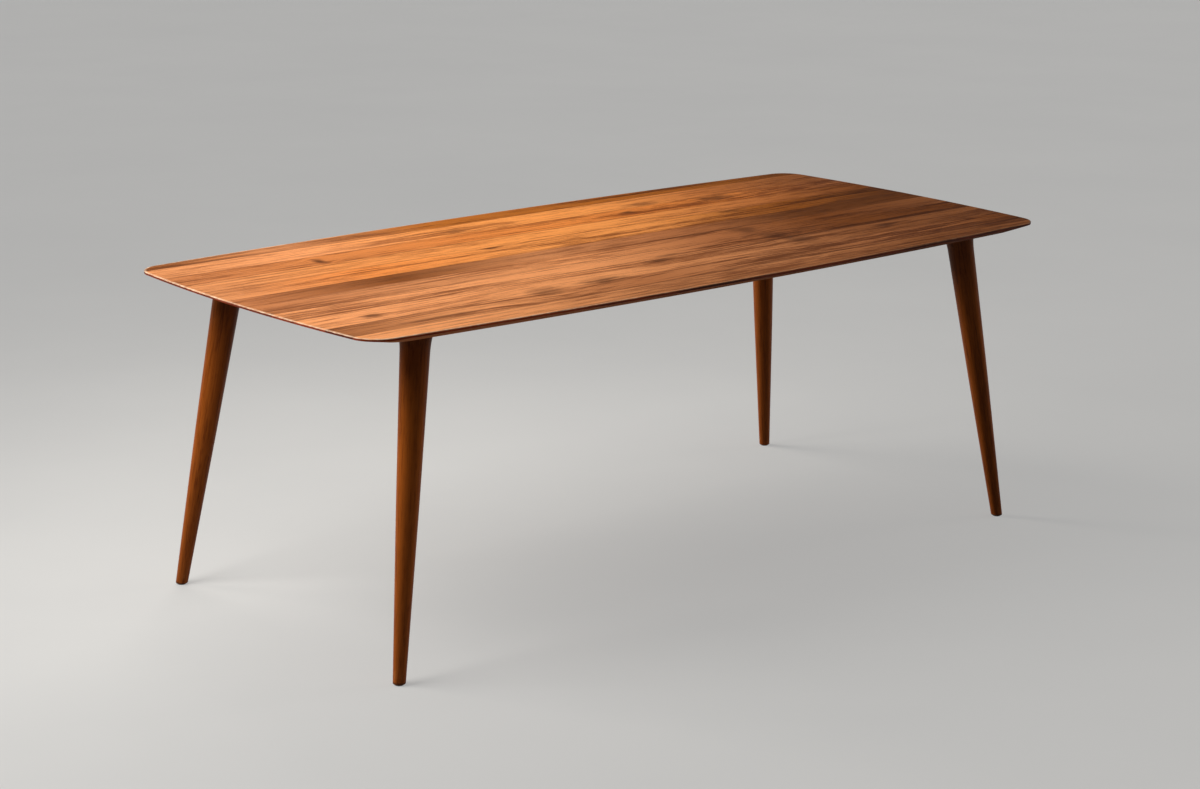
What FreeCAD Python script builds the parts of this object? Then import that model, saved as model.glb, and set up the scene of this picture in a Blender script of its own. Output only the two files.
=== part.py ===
import FreeCAD, Part
import math
import os
import Sketcher

# A dining table: a solid top glued up from staves, thinned by wide bevels underneath, on four
# round tapered legs that splay outwards. Steel plates in the underside carry the legs, and steel
# channels across the grain keep the top flat.
# Millimetres. Origin on the floor under the middle of the top, +X along the length, +Z up,
# the front long side towards -Y.

Vector = FreeCAD.Vector

SIZES = (
    # The top
    ("table_height", "750"),
    ("top_length", "2080"),
    ("top_thickness", "20"),
    ("side_radius", "16700"),
    ("end_radius", "4000"),
    ("corner_radius", "65"),
    ("lip_height", "5.5"),
    ("arris_radius", "2"),
    ("side_bevel_width", "31"),
    ("end_bevel_width", "60"),
    ("underside_corner_radius", "60"),
    # The staves, counted from the front
    ("stave_1_width", "86"),
    ("stave_2_width", "86"),
    ("stave_3_width", "102"),
    ("stave_4_width", "76"),
    ("stave_5_width", "90"),
    ("stave_6_width", "74"),
    ("stave_7_width", "100"),
    ("stave_8_width", "82"),
    ("stave_9_width", "86"),
    ("stave_10_width", "98"),
    ("stave_11_width", "70"),
    ("trim_allowance", "12"),
    # Loose tenons in the edge joints
    ("tenon_length", "40"),
    ("tenon_depth", "20"),
    ("tenon_thickness", "5"),
    ("tenon_cover", "5.5"),
    # The legs
    ("leg_top_from_end", "209"),
    ("leg_top_from_side", "130"),
    ("leg_splay_length", "107"),
    ("leg_splay_width", "75"),
    ("leg_foot_diameter", "27.5"),
    ("leg_middle_diameter", "48.6"),
    ("leg_neck_diameter", "63.4"),
    ("leg_flare_length", "48"),
    ("leg_flare_reach", "6.2"),
    ("leg_trim_allowance", "15"),
    ("foot_edge_radius", "2"),
    # The foot pads
    ("pad_diameter", "20"),
    ("pad_height", "2.5"),
    ("pad_edge", "0.8"),
    ("pad_stem_diameter", "7"),
    ("pad_stem_length", "15"),
    # The leg plates, with the bolts and pins that hold each leg to its plate
    ("plate_length", "100"),
    ("plate_width", "76"),
    ("plate_thickness", "5"),
    ("plate_corner_radius", "9"),
    ("plate_screw_pitch_length", "74"),
    ("plate_screw_pitch_width", "52"),
    ("plate_screw_diameter", "6"),
    ("plate_screw_head_diameter", "12"),
    ("plate_screw_length", "12"),
    ("plate_socket_size", "4.6"),
    ("plate_socket_depth", "2"),
    ("leg_bolt_diameter", "8"),
    ("leg_bolt_head_diameter", "16"),
    ("leg_bolt_length", "40"),
    ("bolt_socket_size", "5.8"),
    ("bolt_socket_depth", "2.5"),
    ("leg_insert_diameter", "13"),
    ("leg_insert_length", "25"),
    ("leg_pin_diameter", "5"),
    ("leg_pin_length", "20"),
    ("leg_pin_pitch", "38"),
    # The stiffening channels and their screws
    ("channel_width", "40"),
    ("channel_depth", "10"),
    ("channel_wall", "3"),
    ("channel_pitch", "480"),
    ("channel_from_side", "130"),
    ("channel_screw_pitch", "170"),
    ("channel_screw_diameter", "6"),
    ("channel_screw_head_diameter", "11"),
    ("channel_screw_head_height", "3.3"),
    ("channel_screw_head_dome", "1.6"),
    ("channel_screw_grip", "12"),
    ("channel_socket_size", "4.6"),
    ("channel_socket_depth", "2"),
    ("washer_diameter", "16"),
    ("washer_thickness", "1.2"),
    ("slot_length", "12"),
    ("slot_clearance", "0.2"),
    # Threaded inserts in the top, for plate screws and channel screws
    ("top_insert_diameter", "9"),
    ("top_insert_length", "8"),
    # Fits
    ("fit_clearance", "0.1"),
    ("recess_clearance", "0.2"),
    ("hole_end_room", "1"),
)

STAVES = 11
CHANNELS = 3
SCREWS_PER_CHANNEL = 4
HEX_SIDES = 6
CORNERS = (("front_left", -1, -1), ("front_right", 1, -1), ("back_left", -1, 1), ("back_right", 1, 1))
CHANNEL_NAMES = ("left_stiffener_channel", "middle_stiffener_channel", "right_stiffener_channel")

doc = FreeCAD.newDocument("dining_table")
sheet = doc.addObject("Spreadsheet::Sheet", "Sizes")
for row, (alias, number) in enumerate(SIZES, start=1):
    sheet.set(f"A{row}", alias)
    sheet.set(f"B{row}", number)
    sheet.setAlias(f"B{row}", alias)
doc.recompute()


def joint_line(joint):
    """Distance of an edge joint from the front edge: the widths of the staves before it."""
    return "(" + " + ".join(f"Sizes.stave_{n}_width" for n in range(1, joint + 1)) + ")"


# Places that several pieces share, as formulas on the sheet
TOP_WIDTH = joint_line(STAVES)
UNDERSIDE = "(Sizes.table_height - Sizes.top_thickness)"
LEG_X = "(Sizes.top_length / 2 - Sizes.leg_top_from_end)"
LEG_Y = f"({TOP_WIDTH} / 2 - Sizes.leg_top_from_side)"
LEG_HEIGHT = f"({UNDERSIDE} - Sizes.pad_height)"
SPLAY = "sqrt(Sizes.leg_splay_length ^ 2 + Sizes.leg_splay_width ^ 2)"
LEG_AXIS = f"sqrt({LEG_HEIGHT} ^ 2 + Sizes.leg_splay_length ^ 2 + Sizes.leg_splay_width ^ 2)"
PLATE_TOP = f"({UNDERSIDE} + Sizes.plate_thickness)"


def value(formula):
    """The number that a formula on the sheet gives now."""
    return float(sheet.evalExpression(formula))


def bind(thing, formulas):
    """Bind properties of a document object to formulas on the sheet."""
    for name, formula in formulas.items():
        thing.setExpression(name, formula)
    return thing


def origin(body, role):
    """One of a body's own origin planes or axes."""
    return next(f for f in body.Origin.OriginFeatures if f.Role == role)


def new_body(name, place=()):
    """An empty body; place gives the formulas of its position."""
    body = doc.addObject("PartDesign::Body", name)
    body.AllowCompound = True
    for axis, formula in zip("xyz", place):
        body.setExpression(f"Placement.Base.{axis}", formula)
    return body


def new_sketch(body, name, plane, offset=()):
    """A sketch on one of the body's origin planes, moved by formulas along its own axes."""
    sketch = body.newObject("Sketcher::SketchObject", name)
    sketch.AttachmentSupport = [(origin(body, plane), "")]
    sketch.MapMode = "FlatFace"
    for axis, formula in zip("xyz", offset):
        sketch.setExpression(f"AttachmentOffset.Base.{axis}", formula)
    return sketch


def dimension(sketch, kind, points, formula):
    """A driving dimension of a sketch, bound to a formula."""
    index = sketch.addConstraint(Sketcher.Constraint(kind, *points, value(formula)))
    sketch.setExpression(f"Constraints[{index}]", formula)


def pin_point(sketch, line, end, across, up):
    """Hold one end of a line at a place given by two formulas, measured from the sketch's origin."""
    if across == "0":
        sketch.addConstraint(Sketcher.Constraint("PointOnObject", line, end, -2))
    else:
        dimension(sketch, "DistanceX", (-1, 1, line, end), across)
    if up == "0":
        sketch.addConstraint(Sketcher.Constraint("PointOnObject", line, end, -1))
    else:
        dimension(sketch, "DistanceY", (-1, 1, line, end), up)


def draw_polygon(sketch, points):
    """A closed outline of straight lines through points given as pairs of formulas."""
    corners = [Vector(value(across), value(up), 0) for across, up in points]
    for start, end in zip(corners, corners[1:] + corners[:1]):
        sketch.addGeometry(Part.LineSegment(start, end))
    for line in range(len(points)):
        following = (line + 1) % len(points)
        sketch.addConstraint(Sketcher.Constraint("Coincident", line, 2, following, 1))
    for line, (across, up) in enumerate(points):
        pin_point(sketch, line, 1, across, up)


def must_change(feature, before):
    """A feature that adds or removes nothing points the wrong way."""
    doc.recompute()
    if abs(feature.Shape.Volume - before) < 1:
        raise RuntimeError(f"{feature.Label} changes nothing")


def revolve(body, sketch, name):
    """Turn a half profile about the sketch's upright axis."""
    turned = body.newObject("PartDesign::Revolution", name)
    turned.Profile = sketch
    turned.ReferenceAxis = (sketch, ["V_Axis"])
    turned.Angle = 360
    doc.recompute()
    return turned


def pattern(body, name, axis, span, count):
    """Copies evenly spaced along an axis of the body, from the first to a span away."""
    copies = body.newObject("PartDesign::LinearPattern", name)
    copies.Direction = (origin(body, axis), [""])
    copies.Mode = "Extent"
    copies.setExpression("Length", span)
    copies.Occurrences = count
    return copies


def mirror(body, name, plane):
    """A copy on the other side of one of the body's origin planes."""
    copy = body.newObject("PartDesign::Mirrored", name)
    copy.MirrorPlane = (origin(body, plane), [""])
    return copy


def repeat(body, features, steps):
    """Repeat features by patterns and mirrors in turn, as the body's last step."""
    copies = body.newObject("PartDesign::MultiTransform", f"{body.Name}_copies")
    copies.Originals = features
    copies.Transformations = steps
    body.Tip = copies
    doc.recompute()
    return copies


def on_all_four_sides(body):
    """Mirrors to the right and to the back, which make four of one feature."""
    name = body.Name
    return [mirror(body, f"{name}_to_right", "YZ_Plane"), mirror(body, f"{name}_to_back", "XZ_Plane")]


def at_each_plate_screw(body):
    """The four screws of a leg plate, then the other three plates."""
    along = pattern(body, f"{body.Name}_along", "X_Axis", "Sizes.plate_screw_pitch_length", 2)
    across = pattern(body, f"{body.Name}_across", "Y_Axis", "Sizes.plate_screw_pitch_width", 2)
    return [along, across] + on_all_four_sides(body)


def at_each_channel_screw(body):
    """Every screw of every channel, from the front screw of the left one."""
    across_span = f"Sizes.channel_screw_pitch * {SCREWS_PER_CHANNEL - 1}"
    across = pattern(body, f"{body.Name}_across", "Y_Axis", across_span, SCREWS_PER_CHANNEL)
    along_span = f"Sizes.channel_pitch * {CHANNELS - 1}"
    along = pattern(body, f"{body.Name}_along", "X_Axis", along_span, CHANNELS)
    return [across, along]


# Places of the first fastener of each group, at the front left
LEG_PLACE = (f"-{LEG_X}", LEG_Y)
PLATE_SCREW_PLACE = (
    f"-{LEG_X} - Sizes.plate_screw_pitch_length / 2",
    f"{LEG_Y} + Sizes.plate_screw_pitch_width / 2",
)
LEG_PIN_PLACE = (f"-{LEG_X} - Sizes.leg_pin_pitch / 2", LEG_Y)
CHANNEL_SCREW_PLACE = (
    f"-Sizes.channel_pitch * {(CHANNELS - 1) / 2}",
    f"Sizes.channel_screw_pitch * {(SCREWS_PER_CHANNEL - 1) / 2}",
)


def draw_hexagon(sketch, across_corners):
    """A hexagon centred on the sketch's origin, one corner on the level axis."""
    radius = value(f"{across_corners} / 2")
    turn = 2 * math.pi / HEX_SIDES
    spots = [Vector(radius * math.cos(turn * n), radius * math.sin(turn * n), 0) for n in range(HEX_SIDES)]
    for start, end in zip(spots, spots[1:] + spots[:1]):
        sketch.addGeometry(Part.LineSegment(start, end))
    ring = sketch.addGeometry(Part.Circle(Vector(0, 0, 0), Vector(0, 0, 1), radius), True)
    sketch.addConstraint(Sketcher.Constraint("Coincident", ring, 3, -1, 1))
    dimension(sketch, "Diameter", (ring,), across_corners)
    for line in range(HEX_SIDES):
        following = (line + 1) % HEX_SIDES
        sketch.addConstraint(Sketcher.Constraint("Coincident", line, 2, following, 1))
        sketch.addConstraint(Sketcher.Constraint("PointOnObject", line, 1, ring))
        if following:
            sketch.addConstraint(Sketcher.Constraint("Equal", line, following))
    sketch.addConstraint(Sketcher.Constraint("PointOnObject", 0, 1, -1))


def turned_group(name, place, bottom, profile, steps, socket=None):
    """A group of equal turned pieces. place gives the first one's distance along X and its
    distance towards the front; socket gives the size, depth and mouth of a hexagon socket, and
    whether it opens downwards."""
    body = new_body(name)
    across, front = place
    sketch = new_sketch(body, f"{name}_profile", "XZ_Plane", (across, bottom, front))
    draw_polygon(sketch, profile)
    features = [revolve(body, sketch, f"{name}_turning")]
    if socket:
        size, depth, mouth, opens_down = socket
        outline = new_sketch(body, f"{name}_socket_shape", "XY_Plane", (across, f"-({front})", mouth))
        draw_hexagon(outline, size)
        recess = body.newObject("PartDesign::Pocket", f"{name}_socket")
        recess.Profile = outline
        recess.Reversed = opens_down
        recess.setExpression("Length", depth)
        must_change(recess, features[0].Shape.Volume)
        features.append(recess)
    repeat(body, features, steps(body))
    return body


def ring_profile(inner, outer, height):
    """Half profile of a plain ring."""
    return [(inner, "0"), (outer, "0"), (outer, height), (inner, height)]


def rod_profile(radius, height):
    """Half profile of a plain rod."""
    return [("0", "0"), (radius, "0"), (radius, height), ("0", height)]


def combine(kind, name, base, tool):
    """A boolean of two objects: Part::Cut or Part::Common."""
    result = doc.addObject(kind, name)
    result.Base = base
    result.Tool = tool
    return result


def gather(name, things):
    """Several separate solids as one object."""
    group = doc.addObject("Part::Compound", name)
    group.Links = things
    return group


def block(name, size, corner):
    """A box of the given size, from its lowest corner."""
    box = doc.addObject("Part::Box", name)
    formulas = dict(zip(("Length", "Width", "Height"), size))
    formulas.update(zip((f"Placement.Base.{axis}" for axis in "xyz"), corner))
    return bind(box, formulas)


def draw_bowed_outline(sketch, half_length_size, half_width_size, corner_size):
    """Bowed long sides and ends, joined by round corners: eight arcs, each tangent to the next."""
    half_length = value(half_length_size)
    half_width = value(half_width_size)
    side = value("Sizes.side_radius")
    end = value("Sizes.end_radius")
    corner = value(corner_size)
    side_centre = Vector(0, half_width - side, 0)
    end_centre = Vector(half_length - end, 0, 0)
    # The corner's centre lies inside the side's circle and the end's circle by its own radius
    apart = end_centre - side_centre
    gap = apart.Length
    reach = ((side - corner) ** 2 - (end - corner) ** 2 + gap ** 2) / (2 * gap)
    rise = math.sqrt((side - corner) ** 2 - reach ** 2)
    toward = apart / gap
    corner_centre = side_centre + toward * reach + Vector(toward.y, -toward.x, 0) * rise
    side_turn = math.acos((corner_centre.y - side_centre.y) / (side - corner))
    end_turn = math.asin((corner_centre.y - end_centre.y) / (end - corner))
    quarter = math.pi / 2
    arcs = (
        (end_centre.x, 0, end, -end_turn, end_turn),
        (corner_centre.x, corner_centre.y, corner, end_turn, quarter - side_turn),
        (0, side_centre.y, side, quarter - side_turn, quarter + side_turn),
        (-corner_centre.x, corner_centre.y, corner, quarter + side_turn, 2 * quarter - end_turn),
        (-end_centre.x, 0, end, 2 * quarter - end_turn, 2 * quarter + end_turn),
        (-corner_centre.x, -corner_centre.y, corner, 2 * quarter + end_turn, 3 * quarter - side_turn),
        (0, -side_centre.y, side, 3 * quarter - side_turn, 3 * quarter + side_turn),
        (corner_centre.x, -corner_centre.y, corner, 3 * quarter + side_turn, 4 * quarter - end_turn),
    )
    for across, up, radius, start, stop in arcs:
        circle = Part.Circle(Vector(across, up, 0), Vector(0, 0, 1), radius)
        sketch.addGeometry(Part.ArcOfCircle(circle, start, stop))
    count = len(arcs)
    for arc in range(count):
        sketch.addConstraint(Sketcher.Constraint("Tangent", arc, 2, (arc + 1) % count, 1))
    right_end, first_corner, back_side, left_end, front_side = 0, 1, 2, 4, 6
    dimension(sketch, "Radius", (right_end,), "Sizes.end_radius")
    dimension(sketch, "Radius", (back_side,), "Sizes.side_radius")
    dimension(sketch, "Radius", (first_corner,), corner_size)
    equal = [(right_end, left_end), (back_side, front_side)]
    equal += [(first_corner, arc) for arc in range(first_corner + 2, count, 2)]
    for first, second in equal:
        sketch.addConstraint(Sketcher.Constraint("Equal", first, second))
    end_shift = f"Sizes.end_radius - ({half_length_size})"
    side_shift = f"Sizes.side_radius - ({half_width_size})"
    for arc in (right_end, left_end):
        sketch.addConstraint(Sketcher.Constraint("PointOnObject", arc, 3, -1))
    for arc in (back_side, front_side):
        sketch.addConstraint(Sketcher.Constraint("PointOnObject", arc, 3, -2))
    dimension(sketch, "DistanceX", (right_end, 3, -1, 1), end_shift)
    dimension(sketch, "DistanceX", (-1, 1, left_end, 3), end_shift)
    dimension(sketch, "DistanceY", (back_side, 3, -1, 1), side_shift)
    dimension(sketch, "DistanceY", (-1, 1, front_side, 3), side_shift)


def edges_at_height(shape, height):
    """Names of the edges that lie level at a height."""
    names = []
    for number, edge in enumerate(shape.Edges, start=1):
        box = edge.BoundBox
        if abs(box.ZMin - height) < 1e-4 and abs(box.ZMax - height) < 1e-4:
            names.append(f"Edge{number}")
    return names


def glued_up_top():
    """The whole top before its joints, recesses and holes. A thin upright lip runs around the
    edge; below it the underside slopes in to a smaller flat, further at the ends than the sides."""
    body = new_body("glued_up_top")
    half_length = "Sizes.top_length / 2"
    half_width = f"{TOP_WIDTH} / 2"
    outline = new_sketch(body, "top_outline", "XY_Plane", ("0", "0", "Sizes.table_height - Sizes.lip_height"))
    draw_bowed_outline(outline, half_length, half_width, "Sizes.corner_radius")
    doc.recompute()
    lip = body.newObject("PartDesign::Pad", "top_lip")
    lip.Profile = outline
    lip.setExpression("Length", "Sizes.lip_height")
    doc.recompute()
    arris = body.newObject("PartDesign::Fillet", "top_arris")
    arris.Base = (lip, edges_at_height(lip.Shape, value("Sizes.table_height")))
    arris.setExpression("Radius", "Sizes.arris_radius")
    must_change(arris, lip.Shape.Volume)
    flat = new_sketch(body, "underside_outline", "XY_Plane", ("0", "0", UNDERSIDE))
    flat_length = f"{half_length} - Sizes.end_bevel_width"
    flat_width = f"{half_width} - Sizes.side_bevel_width"
    draw_bowed_outline(flat, flat_length, flat_width, "Sizes.underside_corner_radius")
    doc.recompute()
    slope = body.newObject("PartDesign::AdditiveLoft", "underside_bevel")
    slope.Profile = outline
    slope.Sections = [flat]
    slope.Ruled = True
    must_change(slope, arris.Shape.Volume)
    return body


def edge_joint_tenons():
    """Loose tenons in every edge joint, clear of the channels and the leg plates."""
    near = "Sizes.channel_pitch / 2"
    outer_channel = "Sizes.channel_pitch + Sizes.channel_width / 2"
    far = f"({outer_channel} + {LEG_X} - Sizes.plate_length / 2) / 2"
    foot = "Sizes.table_height - Sizes.tenon_cover - Sizes.tenon_thickness"
    size = ("Sizes.tenon_length", "Sizes.tenon_depth", "Sizes.tenon_thickness")
    tenons = []
    for joint in range(1, STAVES):
        along = f"{joint_line(joint)} - {TOP_WIDTH} / 2 - Sizes.tenon_depth / 2"
        for number, middle in enumerate((f"-{far}", f"-{near}", near, far), start=1):
            across = f"{middle} - Sizes.tenon_length / 2"
            tenons.append(block(f"tenon_{joint}_{number}", size, (across, along, foot)))
    return gather("edge_joint_tenons", tenons)


def plate_blank(name, corner, grow):
    """A leg plate without its holes, or the recess for it when it grows by a clearance."""
    _, side, front = corner
    body = new_body(name, (f"{side} * {LEG_X}", f"{front} * {LEG_Y}", UNDERSIDE))
    box = body.newObject("PartDesign::AdditiveBox", f"{name}_block")
    bind(box, {
        "Length": f"Sizes.plate_length + 2 * {grow}",
        "Width": f"Sizes.plate_width + 2 * {grow}",
        "Height": f"Sizes.plate_thickness + 2 * {grow}",
        "Placement.Base.x": f"-Sizes.plate_length / 2 - {grow}",
        "Placement.Base.y": f"-Sizes.plate_width / 2 - {grow}",
        "Placement.Base.z": f"-{grow}",
    })
    doc.recompute()
    upright = []
    for number, edge in enumerate(box.Shape.Edges, start=1):
        if abs(edge.BoundBox.ZLength - edge.Length) < 1e-6:
            upright.append(f"Edge{number}")
    rounding = body.newObject("PartDesign::Fillet", f"{name}_corners")
    rounding.Base = (box, upright)
    rounding.setExpression("Radius", f"Sizes.plate_corner_radius + {grow}")
    must_change(rounding, box.Shape.Volume)
    return body


def countersunk_hole(body, name, place, diameter, head, from_below):
    """A countersunk hole through a leg plate, with its wide end at the bottom or the top."""
    across, along = place
    height = "0" if from_below else "Sizes.plate_thickness"
    sketch = new_sketch(body, f"{name}_place", "XY_Plane", (across, along, height))
    sketch.addGeometry(Part.Circle(Vector(0, 0, 0), Vector(0, 0, 1), value(diameter) / 2))
    sketch.addConstraint(Sketcher.Constraint("Coincident", 0, 3, -1, 1))
    dimension(sketch, "Diameter", (0,), diameter)
    before = body.Shape.Volume
    doc.recompute()
    hole = body.newObject("PartDesign::Hole", name)
    hole.Profile = sketch
    hole.DepthType = "ThroughAll"
    hole.ThreadType = "None"
    hole.HoleCutType = "Countersink"
    hole.HoleCutCustomValues = True
    hole.HoleCutCountersinkAngle = 90
    hole.setExpression("Diameter", diameter)
    hole.setExpression("HoleCutDiameter", head)
    hole.Reversed = from_below
    must_change(hole, before)
    return hole


def leg_plate(corner):
    """The steel plate that joins one leg to the top."""
    name = f"{corner[0]}_leg_plate"
    body = plate_blank(name, corner, "0")
    room = "2 * Sizes.fit_clearance"
    bolt = f"Sizes.leg_bolt_diameter + {room}"
    bolt_head = f"Sizes.leg_bolt_head_diameter + {room}"
    countersunk_hole(body, f"{name}_bolt_hole", ("0", "0"), bolt, bolt_head, False)
    pins = new_sketch(body, f"{name}_pin_place", "XY_Plane", ("Sizes.leg_pin_pitch / 2", "0"))
    pin = f"Sizes.leg_pin_diameter + {room}"
    pins.addGeometry(Part.Circle(Vector(0, 0, 0), Vector(0, 0, 1), value(pin) / 2))
    pins.addConstraint(Sketcher.Constraint("Coincident", 0, 3, -1, 1))
    dimension(pins, "Diameter", (0,), pin)
    before = body.Shape.Volume
    pin_hole = body.newObject("PartDesign::Pocket", f"{name}_pin_hole")
    pin_hole.Profile = pins
    pin_hole.Type = "ThroughAll"
    pin_hole.Reversed = True
    must_change(pin_hole, before)
    other_pin = mirror(body, f"{name}_other_pin_hole", "YZ_Plane")
    other_pin.Originals = [pin_hole]
    body.Tip = other_pin
    doc.recompute()
    screw = f"Sizes.plate_screw_diameter + {room}"
    head = f"Sizes.plate_screw_head_diameter + {room}"
    place = ("Sizes.plate_screw_pitch_length / 2", "Sizes.plate_screw_pitch_width / 2")
    hole = countersunk_hole(body, f"{name}_screw_hole", place, screw, head, True)
    repeat(body, [hole], on_all_four_sides(body))
    return body


def channel_blank(name, step, grow):
    """A stiffening channel, web down, or the groove for it when it grows by a clearance."""
    body = new_body(name, (f"{step} * Sizes.channel_pitch", "0", UNDERSIDE))
    start = f"-Sizes.channel_width / 2 - {grow}"
    sketch = new_sketch(body, f"{name}_profile", "XZ_Plane", (start, f"-{grow}"))
    width = f"Sizes.channel_width + 2 * {grow}"
    height = f"Sizes.channel_depth + 2 * {grow}"
    wall = f"Sizes.channel_wall + 2 * {grow}"
    draw_polygon(sketch, [
        ("0", "0"), (width, "0"), (width, height), (f"{width} - ({wall})", height),
        (f"{width} - ({wall})", wall), (wall, wall), (wall, height), ("0", height),
    ])
    doc.recompute()
    bar = body.newObject("PartDesign::Pad", f"{name}_bar")
    bar.Profile = sketch
    bar.Midplane = True
    bar.setExpression("Length", f"{TOP_WIDTH} - 2 * Sizes.channel_from_side + 2 * {grow}")
    doc.recompute()
    return body


def draw_slot(sketch, length, width):
    """A slot along the sketch's upright axis, centred on its origin."""
    radius = value(f"({width}) / 2")
    reach = value(f"({length} - ({width})) / 2")
    up = Vector(0, 0, 1)
    upper = Part.Circle(Vector(0, reach, 0), up, radius)
    lower = Part.Circle(Vector(0, -reach, 0), up, radius)
    sketch.addGeometry(Part.ArcOfCircle(upper, 0, math.pi))
    sketch.addGeometry(Part.LineSegment(Vector(-radius, reach, 0), Vector(-radius, -reach, 0)))
    sketch.addGeometry(Part.ArcOfCircle(lower, math.pi, 2 * math.pi))
    sketch.addGeometry(Part.LineSegment(Vector(radius, -reach, 0), Vector(radius, reach, 0)))
    for piece in range(4):
        sketch.addConstraint(Sketcher.Constraint("Tangent", piece, 2, (piece + 1) % 4, 1))
    for arc in (0, 2):
        sketch.addConstraint(Sketcher.Constraint("PointOnObject", arc, 3, -2))
    dimension(sketch, "Radius", (0,), f"({width}) / 2")
    dimension(sketch, "DistanceY", (-1, 1, 0, 3), f"({length} - ({width})) / 2")
    dimension(sketch, "DistanceY", (2, 3, -1, 1), f"({length} - ({width})) / 2")


def stiffener_channel(name, step):
    """A steel channel across the grain, slotted so that the wood can move under its screws."""
    body = channel_blank(name, step, "0")
    front = f"-Sizes.channel_screw_pitch * {(SCREWS_PER_CHANNEL - 1) / 2}"
    sketch = new_sketch(body, f"{name}_slot_shape", "XY_Plane", ("0", front))
    width = "Sizes.channel_screw_diameter + 2 * Sizes.slot_clearance"
    draw_slot(sketch, "Sizes.slot_length", width)
    before = body.Shape.Volume
    slot = body.newObject("PartDesign::Pocket", f"{name}_slot")
    slot.Profile = sketch
    slot.Type = "ThroughAll"
    slot.Reversed = True
    must_change(slot, before)
    span = f"Sizes.channel_screw_pitch * {SCREWS_PER_CHANNEL - 1}"
    row = pattern(body, f"{name}_slots", "Y_Axis", span, SCREWS_PER_CHANNEL)
    row.Originals = [slot]
    body.Tip = row
    doc.recompute()
    return body


def draw_leg_profile(sketch):
    """Half of a leg blank: two tapers, a short flare at the top and waste at both ends."""
    spare = "Sizes.leg_trim_allowance"
    foot = "Sizes.leg_foot_diameter / 2"
    middle = "Sizes.leg_middle_diameter / 2"
    neck = "Sizes.leg_neck_diameter / 2"
    top = f"{neck} + Sizes.leg_flare_reach"
    bottom = f"{foot} - ({middle} - {foot}) * {spare} / ({LEG_AXIS} / 2)"
    top_up = f"{spare} + {LEG_AXIS}"
    neck_up = f"{top_up} - Sizes.leg_flare_length"
    end_up = f"{top_up} + {spare}"
    points = [
        ("0", "0"), (bottom, "0"), (middle, f"{spare} + {LEG_AXIS} / 2"), (neck, neck_up),
        (top, top_up), (top, end_up), ("0", end_up),
    ]
    corners = [Vector(value(across), value(up), 0) for across, up in points]
    upper, flare, count = 2, 3, len(points)
    # The flare leaves the upper taper without a kink: find the arc that starts along it
    start, stop = corners[flare], corners[flare + 1]
    along = corners[flare] - corners[upper]
    along = along / along.Length
    chord = stop - start
    across = Vector(along.y, -along.x, 0)
    radius = chord.dot(chord) / (2 * chord.dot(across))
    centre = start + across * radius
    circle = Part.Circle(centre, Vector(0, 0, 1), radius)
    for number in range(count):
        first, second = corners[number], corners[(number + 1) % count]
        if number == flare:
            sketch.addGeometry(Part.ArcOfCircle(circle, circle.parameter(stop), circle.parameter(start)))
        else:
            sketch.addGeometry(Part.LineSegment(first, second))
    # The arc is drawn counter-clockwise, from the top of the flare down to the neck
    flare_start, flare_stop = 2, 1
    for number in range(count):
        following = (number + 1) % count
        end = flare_stop if number == flare else 2
        begin = flare_start if following == flare else 1
        joint = "Tangent" if following == flare else "Coincident"
        sketch.addConstraint(Sketcher.Constraint(joint, number, end, following, begin))
    for number, (across, up) in enumerate(points):
        pin_point(sketch, number, flare_start if number == flare else 1, across, up)


def trim(body, name, size, place):
    """Saw a block away from a body; place gives the middle of the block's lowest face."""
    before = body.Shape.Volume
    waste = body.newObject("PartDesign::SubtractiveBox", name)
    across, along, foot = place
    width, height = size
    bind(waste, {
        "Length": width,
        "Width": width,
        "Height": height,
        "Placement.Base.x": f"{across} - ({width}) / 2",
        "Placement.Base.y": f"{along} - ({width}) / 2",
        "Placement.Base.z": foot,
    })
    must_change(waste, before)
    return waste


def bore(body, name, radius, depth, place):
    """Drill an upright hole into a body; place gives the middle of the hole's lowest end."""
    before = body.Shape.Volume
    hole = body.newObject("PartDesign::SubtractiveCylinder", name)
    across, along, foot = place
    bind(hole, {
        "Radius": radius,
        "Height": depth,
        "Placement.Base.x": across,
        "Placement.Base.y": along,
        "Placement.Base.z": foot,
    })
    must_change(hole, before)


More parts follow.
